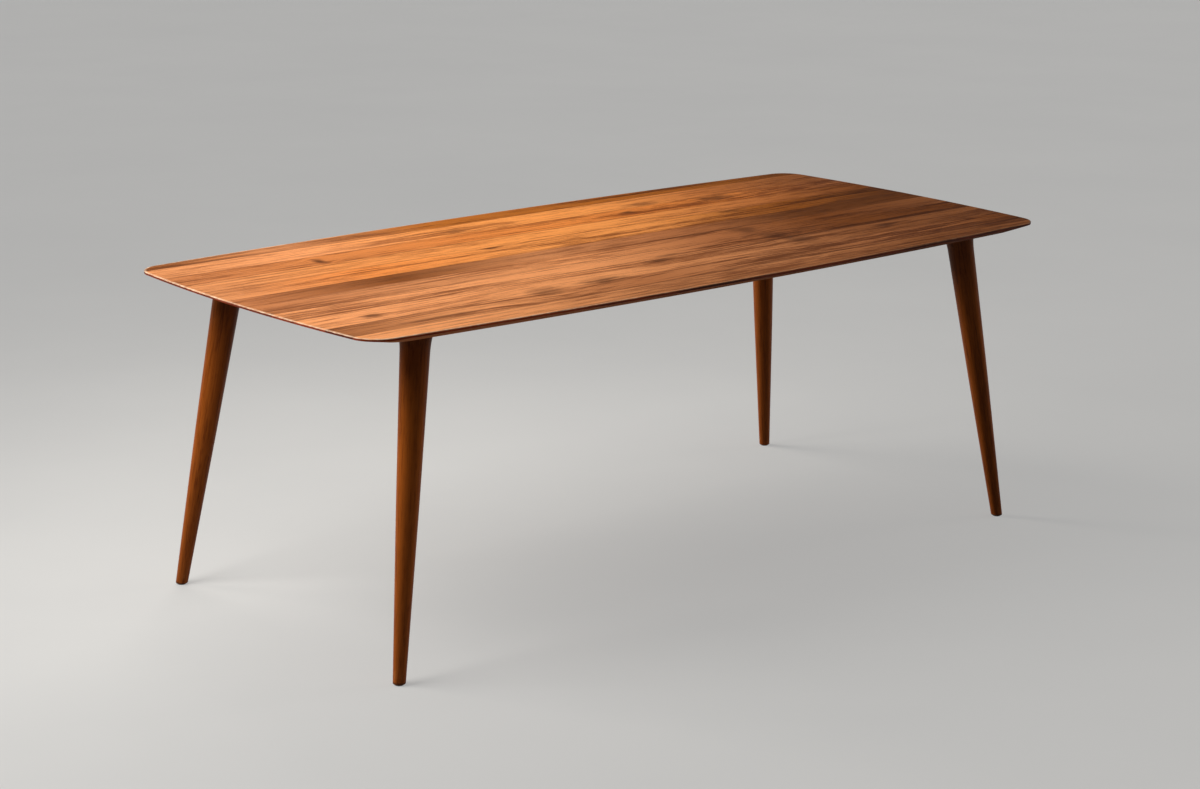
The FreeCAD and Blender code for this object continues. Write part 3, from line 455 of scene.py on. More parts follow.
def leg_rule(material, side, front):
    """A turned leg between the foot pad and the leg plate: level rings up a leaning axis, each
    point set so that its distance from the axis follows the turned profile."""
    rule = Rule("turned_leg")
    calc, root = rule.calc, rule.root
    plus, minus, times, over, times_plus = rule.plus, rule.minus, rule.times, rule.over, rule.times_plus
    top_x = rule.size("Top X", side * LEG_TOP.x)
    top_y = rule.size("Top Y", front * LEG_TOP.y)
    foot_x = rule.size("Foot X", side * LEG_FOOT.x)
    foot_y = rule.size("Foot Y", front * LEG_FOOT.y)
    low = rule.size("Foot Height", PAD_HEIGHT)
    high = rule.size("Top Height", UNDERSIDE)
    foot = rule.radius("Foot Diameter", FOOT_DIAMETER)
    middle = rule.radius("Middle Diameter", MIDDLE_DIAMETER)
    neck = rule.radius("Neck Diameter", NECK_DIAMETER)
    flare = rule.size("Flare Length", FLARE_LENGTH)
    reach = rule.size("Flare Reach", FLARE_REACH)
    edge = rule.size("Foot Edge Radius", FOOT_EDGE_RADIUS)
    sides = rule.count("Sides", LEG_SIDES)
    rings = rule.count("Rings", LEG_RINGS)

    lean_x = minus(top_x, foot_x)
    lean_y = minus(top_y, foot_y)
    height = minus(high, low)
    length = root(times_plus(height, height, rule.squares(lean_x, lean_y)))
    axis_x = over(lean_x, length)
    axis_y = over(lean_y, length)
    axis_z = over(height, length)

    # The flare is an arc that leaves the upper taper smoothly and reaches out under the plate
    half = over(length, 2)
    neck_at = minus(length, flare)
    upper = over(minus(neck, middle), minus(neck_at, half))
    slant = root(times_plus(upper, upper, 1))
    spread = over(minus(reach, times(upper, flare)), slant)
    bend = over(rule.squares(flare, reach), times(spread, 2))
    centre_at = minus(neck_at, over(times(bend, upper), slant))
    centre_out = plus(neck, over(bend, slant))

    def radius_at(along):
        lower_taper = times_plus(over(along, half), minus(middle, foot), foot)
        upper_taper = times_plus(minus(along, half), upper, middle)
        taper = calc("MINIMUM", lower_taper, upper_taper)
        past = minus(calc("MINIMUM", along, length), centre_at)
        depth = minus(times(bend, bend), times(past, past))
        arc = minus(centre_out, root(calc("MAXIMUM", depth, 0)))
        flared = calc("GREATER_THAN", along, neck_at)
        return times_plus(flared, minus(arc, taper), taper)

    blank = rule.node("GeometryNodeMeshCylinder", {
        "Vertices": sides, "Side Segments": rings, "Radius": 1.0, "Depth": 1.0}, fill_type="NGON")
    where = rule.split(rule.node("GeometryNodeInputPosition").outputs[0])
    share = plus(where[2], 0.5)
    wave = calc("SINE", times(share, 2 * math.pi))
    share = times_plus(wave, -RING_CROWDING / (2 * math.pi), share)
    rise = times(share, height)
    along = over(rise, axis_z)
    tip = times_plus(where[0], axis_x, times(where[1], axis_y))
    slope = root(minus(1, times(tip, tip)))
    out = over(radius_at(along), slope)
    for _ in range(LEAN_PASSES):
        out = over(radius_at(times_plus(out, tip, along)), slope)
    under = calc("MAXIMUM", minus(edge, rise), 0)
    round_in = minus(times(edge, edge), times(under, under))
    out = minus(out, minus(edge, root(round_in)))
    spot = rule.join(
        times_plus(where[0], out, times_plus(along, axis_x, foot_x)),
        times_plus(where[1], out, times_plus(along, axis_y, foot_y)),
        plus(low, rise))
    leg = rule.node("GeometryNodeSetPosition", {"Geometry": blank.outputs["Mesh"], "Position": spot})
    return rule.finish(leg.outputs[0], material)


def lift(rule, thing, height):
    return rule.node("GeometryNodeTransform", {
        "Geometry": thing, "Translation": rule.join(0, 0, height)}).outputs[0]


def turned_solid(rule, profile):
    """A closed turned shape in a tree: one cone for each step of the profile, welded together."""
    sides = rule.count("Sides", SCREW_SIDES)
    join = rule.node("GeometryNodeJoinGeometry")
    for (radius, height), (next_radius, next_height) in zip(profile, profile[1:]):
        cone = rule.node("GeometryNodeMeshCone", {
            "Vertices": sides, "Radius Bottom": radius, "Radius Top": next_radius,
            "Depth": rule.minus(next_height, height)}, fill_type="NONE")
        rule.tree.links.new(lift(rule, cone.outputs["Mesh"], height), join.inputs[0])
    return rule.node("GeometryNodeMergeByDistance", {
        "Geometry": join.outputs[0], "Distance": WELD_DISTANCE}).outputs[0]


def with_socket(rule, solid, width, depth):
    """The hexagon socket in a screw's head, opening downwards at the tree's floor."""
    bar = rule.node("GeometryNodeMeshCylinder", {
        "Vertices": 6, "Radius": rule.radius("Socket Width", width),
        "Depth": rule.times(rule.size("Socket Depth", depth), 2)}, fill_type="NGON")
    cut = rule.node("GeometryNodeMeshBoolean", operation="DIFFERENCE")
    rule.tree.links.new(solid, cut.inputs["Mesh 1"])
    rule.tree.links.new(bar.outputs["Mesh"], cut.inputs["Mesh 2"])
    return cut.outputs["Mesh"]


def grid_of(rule, thing, length, width, columns, rows):
    """Copies of a thing on a level grid around the origin."""
    grid = rule.node("GeometryNodeMeshGrid", {
        "Size X": length, "Size Y": width, "Vertices X": columns, "Vertices Y": rows})
    copies = rule.node("GeometryNodeInstanceOnPoints", {"Points": grid.outputs["Mesh"], "Instance": thing})
    return copies.outputs[0]


def plate_screws_rule(material):
    """Flat-headed screws that hold the leg plates, heads down and flush with the plates."""
    rule = Rule("plate_screws")
    shank = rule.radius("Screw Diameter", PLATE_SCREW_DIAMETER)
    head = rule.radius("Head Diameter", PLATE_SCREW_HEAD)
    length = rule.size("Screw Length", PLATE_SCREW_LENGTH)
    taper = rule.minus(head, shank)
    profile = [(0.0, 0.0), (head, 0.0), (shank, taper), (shank, length), (0.0, length)]
    screw = with_socket(rule, turned_solid(rule, profile), *PLATE_SOCKET)
    four = grid_of(rule, screw, rule.size("Pitch Along", PLATE_SCREW_PITCH[0]),
                   rule.size("Pitch Across", PLATE_SCREW_PITCH[1]), 2, 2)
    every = grid_of(rule, four, rule.size("Legs Apart Along", 2 * LEG_TOP.x),
                    rule.size("Legs Apart Across", 2 * LEG_TOP.y), 2, 2)
    return rule.finish(lift(rule, every, rule.size("Underside Height", UNDERSIDE)), material)


def along_the_channels(rule, thing):
    """A copy of a fastener at each screw place of each channel."""
    return grid_of(
        rule, thing, rule.size("Channels Span", (CHANNELS - 1) * CHANNEL_PITCH),
        rule.size("Screws Span", (SCREWS_PER_CHANNEL - 1) * CHANNEL_SCREW_PITCH),
        rule.count("Channels", CHANNELS), rule.count("Screws", SCREWS_PER_CHANNEL))


def channel_screws_rule(material):
    """Button-headed screws that hold the channels, heads down under their washers."""
    rule = Rule("channel_screws")
    shank = rule.radius("Screw Diameter", CHANNEL_SCREW_DIAMETER)
    head = rule.radius("Head Diameter", CHANNEL_SCREW_HEAD)
    head_height = rule.size("Head Height", CHANNEL_HEAD_HEIGHT)
    dome = rule.size("Head Dome", CHANNEL_HEAD_DOME)
    grip = rule.size("Grip", CHANNEL_SCREW_GRIP)
    length = rule.plus(head_height, grip)
    profile = [(0.0, 0.0), (rule.minus(head, dome), 0.0), (head, dome), (head, head_height),
               (shank, head_height), (shank, length), (0.0, length)]
    screw = with_socket(rule, turned_solid(rule, profile), *CHANNEL_SOCKET)
    foot = rule.minus(rule.size("Washer Underside", UNDERSIDE - WASHER_THICKNESS), head_height)
    return rule.finish(lift(rule, along_the_channels(rule, screw), foot), material)


def channel_washers_rule(material):
    """Plain washers between the screw heads and the channels."""
    rule = Rule("channel_washers")
    rim = rule.radius("Washer Diameter", WASHER_DIAMETER)
    hole = rule.radius("Bore", WASHER_BORE)
    thick = rule.size("Thickness", WASHER_THICKNESS)
    profile = [(hole, 0.0), (rim, 0.0), (rim, thick), (hole, thick), (hole, 0.0)]
    washer = turned_solid(rule, profile)
    foot = rule.minus(rule.size("Underside Height", UNDERSIDE), thick)
    return rule.finish(lift(rule, along_the_channels(rule, washer), foot), material)


# Finishes

# Sockets of the mix node by number, because its sockets for colours and for numbers share their names
MIX_SHARE, MIX_FIRST, MIX_SECOND, MIX_RESULT = 0, 6, 7, 2


class Finish(Nodes):
    """A procedural material whose patterns lie in the piece's own space."""

    def __init__(self, name, specular=0.5, metallic=0.0):
        self.material = bpy.data.materials.new(name)
        self.material.use_nodes = True
        super().__init__(self.material.node_tree)
        self.shader = self.tree.nodes["Principled BSDF"]
        self.shader.inputs["Specular IOR Level"].default_value = specular
        self.shader.inputs["Metallic"].default_value = metallic
        self.place = self.tree.nodes.new("ShaderNodeTexCoord").outputs["Object"]

    def noise(self, place, detail=2.0, roughness=0.5):
        """Soft noise from 0 to 1, about one blotch for each unit of the place that it reads."""
        return self.node("ShaderNodeTexNoise", {
            "Vector": place, "Scale": 1.0, "Detail": detail, "Roughness": roughness}).outputs["Fac"]

    def cloud(self, scale, shift=(0, 0, 0), place=None, **settings):
        """Soft noise over the piece, with so many blotches in a metre along each axis."""
        stretched = self.node("ShaderNodeMapping", {
            "Vector": self.place if place is None else place, "Location": shift, "Scale": scale})
        return self.noise(stretched.outputs[0], **settings)

    def sway(self, item, noise, reach):
        """An item that a noise moves to either side, by so much at most."""
        return self.times_plus(self.minus(noise, 0.5), 2 * reach, item)

    def fade(self, item, start, stop, low=0.0, high=1.0):
        """From low at the start to high at the stop, eased."""
        return self.node("ShaderNodeMapRange", {
            "Value": item, "From Min": start, "From Max": stop, "To Min": low, "To Max": high},
            interpolation_type="SMOOTHSTEP").outputs[0]

    def mix(self, share, first, second, blend="MIX"):
        inputs = {MIX_SHARE: share, MIX_FIRST: first, MIX_SECOND: second}
        for socket, item in inputs.items():
            inputs[socket] = (*item, 1.0) if isinstance(item, tuple) else item
        return self.node("ShaderNodeMix", inputs, data_type="RGBA", blend_type=blend).outputs[MIX_RESULT]

    def attribute(self, name):
        return self.node("ShaderNodeAttribute", attribute_name=name).outputs["Fac"]

    def facing(self):
        """Which way the surface faces, as three parts."""
        return self.split(self.node("ShaderNodeNewGeometry").outputs["Normal"])

    def set(self, name, item):
        self.tree.links.new(item, self.shader.inputs[name])

    def bump(self, height, depth, strength=1.0):
        node = self.node("ShaderNodeBump", {"Height": height, "Distance": depth, "Strength": strength})
        self.set("Normal", node.outputs["Normal"])


# Wood

# Pale colour on the top's arris: part wear, part painted highlight
PALE_WEAR_AND_HIGHLIGHT = (0.82, 0.60, 0.43)
FOOT_WEAR = (0.46, 0.17, 0.05)
KNOT_BROWN = (0.085, 0.026, 0.009)
PORE_BROWN = (0.10, 0.034, 0.012)
# Painted shade for the lip, the bevel and the underside of the top
LIP_PAINTED_SHADE = (0.42, 0.16, 0.10)

# The noises of the wood: blotches in a metre along and across the grain, detail and roughness
GRAIN = {
    "bands": (0.9, 17.0, 2.0, 0.5),
    "broad": (2.0, 48.0, 3.0, 0.6),
    "streaks": (1.8, 115.0, 4.0, 0.6),
    "hairs": (1.8, 210.0, 2.0, 0.5),
    "veins": (1.1, 52.0, 2.0, 0.5),
    "flecks": (14.0, 150.0, 3.0, 0.7),
    "fibres": (9.0, 520.0, 3.0, 0.65),
    "pores": (42.0, 1500.0, 1.0, 0.5),
}
GRAIN_SHIFT = (1.7, 3.1, 0.7)
HAIRS_BETWEEN = (0.54, 0.72)
PORES_BETWEEN = (0.60, 0.74)
VEINED_BETWEEN = (0.4, 0.6)
VEIN_BREADTH = 0.08

# Year rings, and how they sway, crowd and darken from one ring to the next
RING_SWAY_SCALE = (2.2, 9.0, 9.0)
RING_SWAY = 11 * MM
RING_CROWD_SCALE = 55.0
RING_CROWD = 0.9
RING_SHADES = [(0.0, 0.1), (0.12, 0.0), (0.5, 0.22), (0.82, 0.85), (0.93, 1.0), (1.0, 0.1)]

# Knots: how many lengths and widths away the grain still parts, how far it parts, and the fade
KNOT_PULL_ALONG = 3.2
KNOT_PULL_ACROSS = 2.6
KNOT_PARTING = 0.75
KNOT_BETWEEN = (0.1, 1.5)
KNOT_RAGGED_SCALE = (26.0, 80.0, 80.0)
KNOT_RAGGED = 0.8

# The staves. A fade is where it starts and stops, and what it goes from and to between them.
STAVE_SEED = 7.3
STAVE_SPECULAR = 0.14
WANDER_SCALE = (1.1, 2.5, 0.0)
WANDER = 16 * MM
RIPPLE_SCALE = (4.5, 11.0, 11.0)
RIPPLE = 4.5 * MM
BLOTCH_SCALE = (2.2, 9.0, 9.0)
BLOTCH = 0.22
GRAIN_BY_LENGTH = (0.1, 0.7, 0.85, 1.4)
STAVE_PORES = 0.35
GLUE_FADE = (0.4 * MM, 2.2 * MM, 1.0, 0.0)
GLUE_PATCH_SCALE = (3.0, 30.0, 0.0)
GLUE_PATCH_FADE = (0.4, 0.65, 0.15, 0.85)
END_GRAIN_FADE = (0.45, 0.9, 0.0, 0.4)
# Painted shade on the lip, easing to half over the bevel and the underside
LIP_SHADE_STARTS = (0.6 * MM, 1.4 * MM, 0.0, 1.0)
LIP_SHADE_ENDS = (5.4 * MM, 6.5 * MM, 1.0, 0.5)
# The pale arris band, wear and painted highlight together, strongest at the left end
WEAR_AND_HIGHLIGHT_FADE = (0.3, 1.0, 0.0, 1.0)
SCUFF_SCALE = (60.0, 60.0, 200.0)
SCUFF_FADE = (0.42, 0.62, 0.3, 0.8)
ARRIS_DEPTH_FADE = (1.0 * MM, 2.2 * MM, 1.0, 0.0)
WEAR_AND_HIGHLIGHT_BY_LENGTH = (0.05, 0.6, 1.0, 0.2)
OIL_FADE = (4.5 * MM, 6.5 * MM, 0.36, 0.84)
FIBRE_SHEEN = 0.16

# The legs
LEG_SEEDS = (3.9, 11.7)
LEG_SPECULAR = 0.08
LEG_WANDER_SCALE = (2.0, 3.0, 3.0)
LEG_WANDER = 8 * MM
LEG_PORES = 0.3
LEG_SCUFF_SCALE = (35.0, 90.0, 90.0)
LEG_SCUFF_FADE = (0.5, 0.68, 0.0, 0.5)
LOW_DOWN_FADE = (0.0, 50 * MM, 1.0, 0.0)
# Painted shade on the lowest millimetres of the foot
FOOT_PAINTED_SHADE_FADE = (1.0 * MM, 5.0 * MM, 0.8, 0.0)
LEG_OILED = 0.30
LEG_SCUFFED = 0.2

# Relief of pores and fibres
PORE_DENT = -0.7
FIBRE_RIDGE = 0.5
STAVE_RELIEF = 0.12 * MM
LEG_RELIEF = 0.1 * MM
RELIEF_STRENGTH = 0.6


def grain_lines(finish, place, look, seed):
    """Year rings of a log with its pith beside or below the board, cut open by the board's faces."""
    pith_across, pith_below, pith_dip = look["pith"]
    along, across, depth = finish.split(place)
    waves = finish.cloud(RING_SWAY_SCALE, (0, seed, 0), place, detail=3.0)
    off_across = finish.minus(across, pith_across)
    off_depth = finish.plus(depth, finish.times_plus(along, pith_dip, pith_below))
    reach = finish.sway(finish.root(finish.squares(off_across, off_depth)), waves, RING_SWAY)
    crowd = finish.noise(finish.join(finish.times(reach, RING_CROWD_SCALE), seed, 0.0))
    turn = finish.sway(finish.over(reach, look["ring"]), crowd, RING_CROWD)
    return finish.ramp(finish.calc("FRACT", turn), RING_SHADES, "EASE")


def swerve(finish, along, across, knot):
    """Grain that parts around a knot: the place across the grain that a point then reads."""
    at, side, length, width, strength = knot
    off_along = finish.over(finish.minus(along, at), KNOT_PULL_ALONG * length)
    off_across = finish.minus(across, side)
    wide = finish.over(off_across, KNOT_PULL_ACROSS * width)
    near = finish.calc("EXPONENT", finish.times(finish.squares(off_along, wide), -1.0))
    return finish.times_plus(finish.times(off_across, near), -KNOT_PARTING * min(strength, 1.0), across)


def knot_shade(finish, along, across, ragged, knot):
    """How dark a knot makes the wood at a place."""
    at, side, length, width, strength = knot
    off_along = finish.over(finish.minus(along, at), length)
    off_across = finish.over(finish.minus(across, side), width)
    far = finish.plus(finish.root(finish.squares(off_along, off_across)), ragged)
    return finish.fade(far, *KNOT_BETWEEN, strength, 0.0)


def wood(finish, along, across, depth, look, seed):
    """The shared build-up of every wooden piece: rings, bands, streaks, hairs, thin dark veins,
    flecks, fibres and pores. Gives the share of dark wood, the pores and the fibres."""
    place = finish.join(along, across, depth)
    shift = tuple(seed * part for part in GRAIN_SHIFT)
    clouds = {}
    for name, (lengthwise, crosswise, detail, roughness) in GRAIN.items():
        clouds[name] = finish.cloud(
            (lengthwise, crosswise, crosswise), shift, place, detail=detail, roughness=roughness)
    from_vein = finish.calc("ABSOLUTE", finish.minus(clouds["veins"], 0.5))
    veins = finish.fade(from_vein, 0.0, VEIN_BREADTH, 1.0, 0.0)
    veined = finish.fade(clouds["bands"], *VEINED_BETWEEN, 0.0, look["veins"])
    dark = finish.times(grain_lines(finish, place, look, seed), look["lines"])
    for name in ("bands", "broad", "streaks", "flecks", "fibres"):
        dark = finish.sway(dark, clouds[name], look[name])
    dark = finish.plus(dark, finish.fade(clouds["hairs"], *HAIRS_BETWEEN, 0.0, look["hairs"]))
    dark = finish.times_plus(veins, veined, dark)
    return dark, finish.fade(clouds["pores"], *PORES_BETWEEN), clouds["fibres"]


def wood_colour(finish, share, dark, look):
    """From the paler wood at a place along the piece to its dark wood; the tones along the piece hold
    painted light and shade as well as the wood's own tone.
    """
    tone = finish.ramp(share, look["tones_and_painted_light"])
    deep = finish.mix(1.0, tone, look["deep"], "MULTIPLY")
    return finish.mix(finish.fade(dark, *look["dark"]), tone, deep)


def wood_relief(finish, pores, fibres, depth):
    relief = finish.times_plus(pores, PORE_DENT, finish.times(fibres, FIBRE_RIDGE))
    finish.bump(relief, depth, RELIEF_STRENGTH)


def stave_finish(number, middle, look):
    """One stave of the top: its own log, tone and knots, with painted light and shade along its length,
    under a satin oil worn at the arris, where a painted highlight is added, and with painted shade on the
    lip below.
    """
    finish = Finish(f"stave_{number}_wood", STAVE_SPECULAR)
    seed = STAVE_SEED * number
    along, up_y, up_z = finish.split(finish.place)
    flat = finish.minus(up_y, middle)
    depth = finish.minus(up_z, TABLE_HEIGHT)
    below = finish.minus(TABLE_HEIGHT, up_z)
    share = finish.times_plus(along, 1 / TOP_LENGTH, 0.5)

    # The wood, with its dark grain weaker at the left end than at the right
    across = finish.sway(flat, finish.cloud(WANDER_SCALE, (0, seed, 0)), WANDER)
    across = finish.sway(across, finish.cloud(RIPPLE_SCALE, (seed, 2, 0)), RIPPLE)
    for knot in look["knots"]:
        across = swerve(finish, along, across, knot)
    dark, pores, fibres = wood(finish, along, across, depth, look, seed)
    dark = finish.sway(dark, finish.cloud(BLOTCH_SCALE, (seed, 0, 0)), BLOTCH)
    dark = finish.times(dark, finish.fade(share, *GRAIN_BY_LENGTH))
    colour = wood_colour(finish, share, dark, look)
    ragged = finish.sway(0.0, finish.cloud(KNOT_RAGGED_SCALE, detail=4.0), KNOT_RAGGED)
    for knot in look["knots"] + look["marks"]:
        colour = finish.mix(knot_shade(finish, along, flat, ragged, knot), colour, KNOT_BROWN)
    colour = finish.mix(finish.times(pores, STAVE_PORES), colour, PORE_BROWN)

    # Glue lines that come and go, end grain, and painted shade on the lip under the arris, carried on at
    # half strength over the bevel and the underside
    from_joint = finish.minus(STAVE_WIDTHS[number - 1] / 2, finish.calc("ABSOLUTE", flat))
    patchy = finish.fade(finish.cloud(GLUE_PATCH_SCALE, (seed, 0, 0), detail=3.0), *GLUE_PATCH_FADE)
    glue = finish.times(finish.fade(from_joint, *GLUE_FADE), patchy)
    colour = finish.mix(glue, colour, KNOT_BROWN)
    end_grain = finish.fade(finish.calc("ABSOLUTE", finish.facing()[0]), *END_GRAIN_FADE)
    colour = finish.mix(end_grain, colour, look["deep_end"])
    # Painted shade: the lip darkened in full, the bevel and the underside below it by half
    lip = finish.times(finish.fade(below, *LIP_SHADE_STARTS), finish.fade(below, *LIP_SHADE_ENDS))
    colour = finish.mix(lip, colour, finish.mix(1.0, colour, LIP_PAINTED_SHADE, "MULTIPLY"))

    # The arris rubbed pale and given a painted highlight, most of all towards the left end nearest the
    # lamps
    scuffs = finish.cloud(SCUFF_SCALE, detail=4.0, roughness=0.7)
    wear = finish.fade(finish.attribute("wear"), *WEAR_AND_HIGHLIGHT_FADE)
    for item, limits in ((scuffs, SCUFF_FADE), (below, ARRIS_DEPTH_FADE), (share, WEAR_AND_HIGHLIGHT_BY_LENGTH)):
        wear = finish.times(wear, finish.fade(item, *limits))
    finish.set("Base Color", finish.mix(wear, colour, PALE_WEAR_AND_HIGHLIGHT))

    finish.set("Roughness", finish.times_plus(fibres, FIBRE_SHEEN, finish.fade(below, *OIL_FADE)))
    wood_relief(finish, pores, fibres, STAVE_RELIEF)
    return finish.material


def leg_finish(corner, side, front, look):
    """One leg: straight grain that follows the leg's own lean, scuffed at the foot, with painted shade on
    its lowest few millimetres and over its top.
    """
    finish = Finish(f"{corner}_leg_wood", LEG_SPECULAR)
    seed = LEG_SEEDS[0] * (2 + side) + LEG_SEEDS[1] * (2 + front)
    foot = Vector((side * LEG_FOOT.x, front * LEG_FOOT.y, PAD_HEIGHT))
    top = Vector((side * LEG_TOP.x, front * LEG_TOP.y, UNDERSIDE))
    turn = (top - foot).to_track_quat("X", "Z").to_euler()
    own = finish.node("ShaderNodeMapping", {
        "Vector": finish.place, "Location": foot, "Rotation": turn}, vector_type="TEXTURE").outputs[0]
    along, across, depth = finish.split(own)
    wander = finish.cloud(LEG_WANDER_SCALE, (seed, 0, 0), own, detail=1.0)
    across = finish.sway(across, wander, LEG_WANDER)
    dark, pores, fibres = wood(finish, along, across, depth, look, seed)
    colour = wood_colour(finish, finish.over(along, UNDERSIDE), dark, look)
    colour = finish.mix(finish.times(pores, LEG_PORES), colour, PORE_BROWN)
    scuffs = finish.cloud(LEG_SCUFF_SCALE, (seed, 2, 1), own, detail=4.0, roughness=0.7)
    wear = finish.times(finish.fade(along, *LOW_DOWN_FADE), finish.fade(scuffs, *LEG_SCUFF_FADE))
    colour = finish.mix(wear, colour, FOOT_WEAR)
    # Painted shade along the bottom rim of the foot, where it meets the pad and the floor
    colour = finish.mix(finish.fade(along, *FOOT_PAINTED_SHADE_FADE), colour, KNOT_BROWN)
    finish.set("Base Color", colour)
    sheen = finish.times_plus(fibres, FIBRE_SHEEN, LEG_OILED)
    finish.set("Roughness", finish.times_plus(wear, LEG_SCUFFED, sheen))
    wood_relief(finish, pores, fibres, LEG_RELIEF)
    return finish.material


TENON_SCALE = (400.0, 12.0, 400.0)
TENON_TONES = [(0.3, (0.42, 0.27, 0.14)), (0.7, (0.68, 0.50, 0.31))]


def tenon_finish():
    """Bare pale hardwood, with the mill's fine ribs."""
    finish = Finish("tenon_wood")
    grain = finish.cloud(TENON_SCALE, detail=3.0)
    finish.set("Base Color", finish.ramp(grain, TENON_TONES))
    finish.set("Roughness", finish.fade(grain, 0.2, 0.8, low=0.6, high=0.8))
    finish.bump(grain, 0.2 * MM)
    return finish.material


# Metal and nylon

COAT_PEEL_SCALE = (900.0, 900.0, 900.0)
COAT_SCUFF_SCALE = (70.0, 160.0, 70.0)
COAT_BLACKS = [(0.3, (0.018, 0.018, 0.019)), (0.7, (0.032, 0.032, 0.034))]
COAT_RUBBED = (0.075, 0.075, 0.078)
NYLON_SCALE = (1200.0, 1200.0, 1200.0)
NYLON_BLACKS = [(0.3, (0.012, 0.012, 0.012)), (0.7, (0.028, 0.027, 0.026))]
NYLON_GREYED = (0.10, 0.098, 0.095)
NYLON_GREYED_HEIGHT = 0.9 * MM


def black_steel_finish():
    """Satin powder coat: a fine orange peel with a dusting of scuffs."""
    finish = Finish("black_powder_coat")
    peel = finish.cloud(COAT_PEEL_SCALE)
    rubbed = finish.fade(finish.cloud(COAT_SCUFF_SCALE, detail=5.0, roughness=0.7), 0.6, 0.75)
    finish.set("Base Color", finish.mix(rubbed, finish.ramp(peel, COAT_BLACKS), COAT_RUBBED))
    satin = finish.fade(peel, 0.2, 0.8, low=0.42, high=0.56)
    finish.set("Roughness", finish.times_plus(rubbed, -0.12, satin))
    finish.bump(peel, 0.08 * MM)
    return finish.material


def bare_metal_finish(name, colours, bloom_scale, sheen, marks_scale, marks_depth):
    """Metal whose colour and sheen drift in a cloudy bloom, with fine marks of the tool."""
    finish = Finish(name, metallic=1.0)
    bloom = finish.cloud(bloom_scale, detail=4.0)
    finish.set("Base Color", finish.ramp(bloom, colours))
    finish.set("Roughness", finish.fade(bloom, 0.25, 0.75, *sheen))
    finish.bump(finish.cloud(marks_scale, detail=1.0), marks_depth)
    return finish.material


def nylon_finish():
    """Moulded black nylon, greyed where it meets the floor."""
    finish = Finish("pad_nylon")
    mould = finish.cloud(NYLON_SCALE)
    greyed = finish.fade(finish.split(finish.place)[2], 0.0, NYLON_GREYED_HEIGHT, low=0.5, high=0.0)
    finish.set("Base Color", finish.mix(greyed, finish.ramp(mould, NYLON_BLACKS), NYLON_GREYED))
    finish.set("Roughness", finish.fade(mould, 0.2, 0.8, low=0.5, high=0.7))
    finish.bump(mould, 0.1 * MM)
    return finish.material


# How each stave looks

BLOND = (0.90, 0.335, 0.085)
TAN = (0.86, 0.348, 0.132)
HONEY = (0.80, 0.296, 0.080)
GOLDEN = (0.82, 0.265, 0.055)
AMBER = (0.72, 0.232, 0.050)
ROSY = (0.64, 0.256, 0.098)
RUSSET = (0.62, 0.210, 0.055)
CHESTNUT = (0.50, 0.182, 0.064)
GINGER = (0.42, 0.128, 0.016)
COCOA = (0.35, 0.122, 0.038)
UMBER = (0.25, 0.074, 0.014)
WALNUT = (0.18, 0.054, 0.010)
DEEP_TINT = (0.30, 0.235, 0.19)
SOFT_TINT = (0.38, 0.31, 0.26)
END_GRAIN_SHADE = 0.30
STAVE_DARK = (-0.15, 1.1)
FIGURE = {"lines": 0.3, "bands": 1.0, "broad": 1.1, "streaks": 1.6, "hairs": 0.8, "veins": 0.5}


def in_metres(spots):
    """Places and sizes of knots and marks, given in millimetres with their darkness last."""
    return [tuple(part * MM for part in spot[:4]) + (spot[4],) for spot in spots]


def stave_look(tones_and_painted_light, deep=DEEP_TINT, ring=0.008, pith=(0.03, 0.06, 0.008), figure=1.0, knots=(), marks=()):
    """Colours of the paler wood from the left end to the right, which hold painted light and shade
    as well as the wood's own tone, what its dark wood is tinted by, the width of its rings, where its
    pith lies, how strong its figure is, and its knots and dark marks: place along, place across
    from the stave's middle, length, width and darkness."""
    places = [index / (len(tones_and_painted_light) - 1) for index in range(len(tones_and_painted_light))]
    return {
        "tones_and_painted_light": list(zip(places, tones_and_painted_light)), "deep": deep, "dark": STAVE_DARK,
        "deep_end": tuple(END_GRAIN_SHADE * part for part in tones_and_painted_light[0]),
        "ring": ring, "pith": pith, "flecks": 1.0, "fibres": 2.2,
        **{name: amount * figure for name, amount in FIGURE.items()},
        "knots": in_metres(knots), "marks": in_metres(marks),
    }
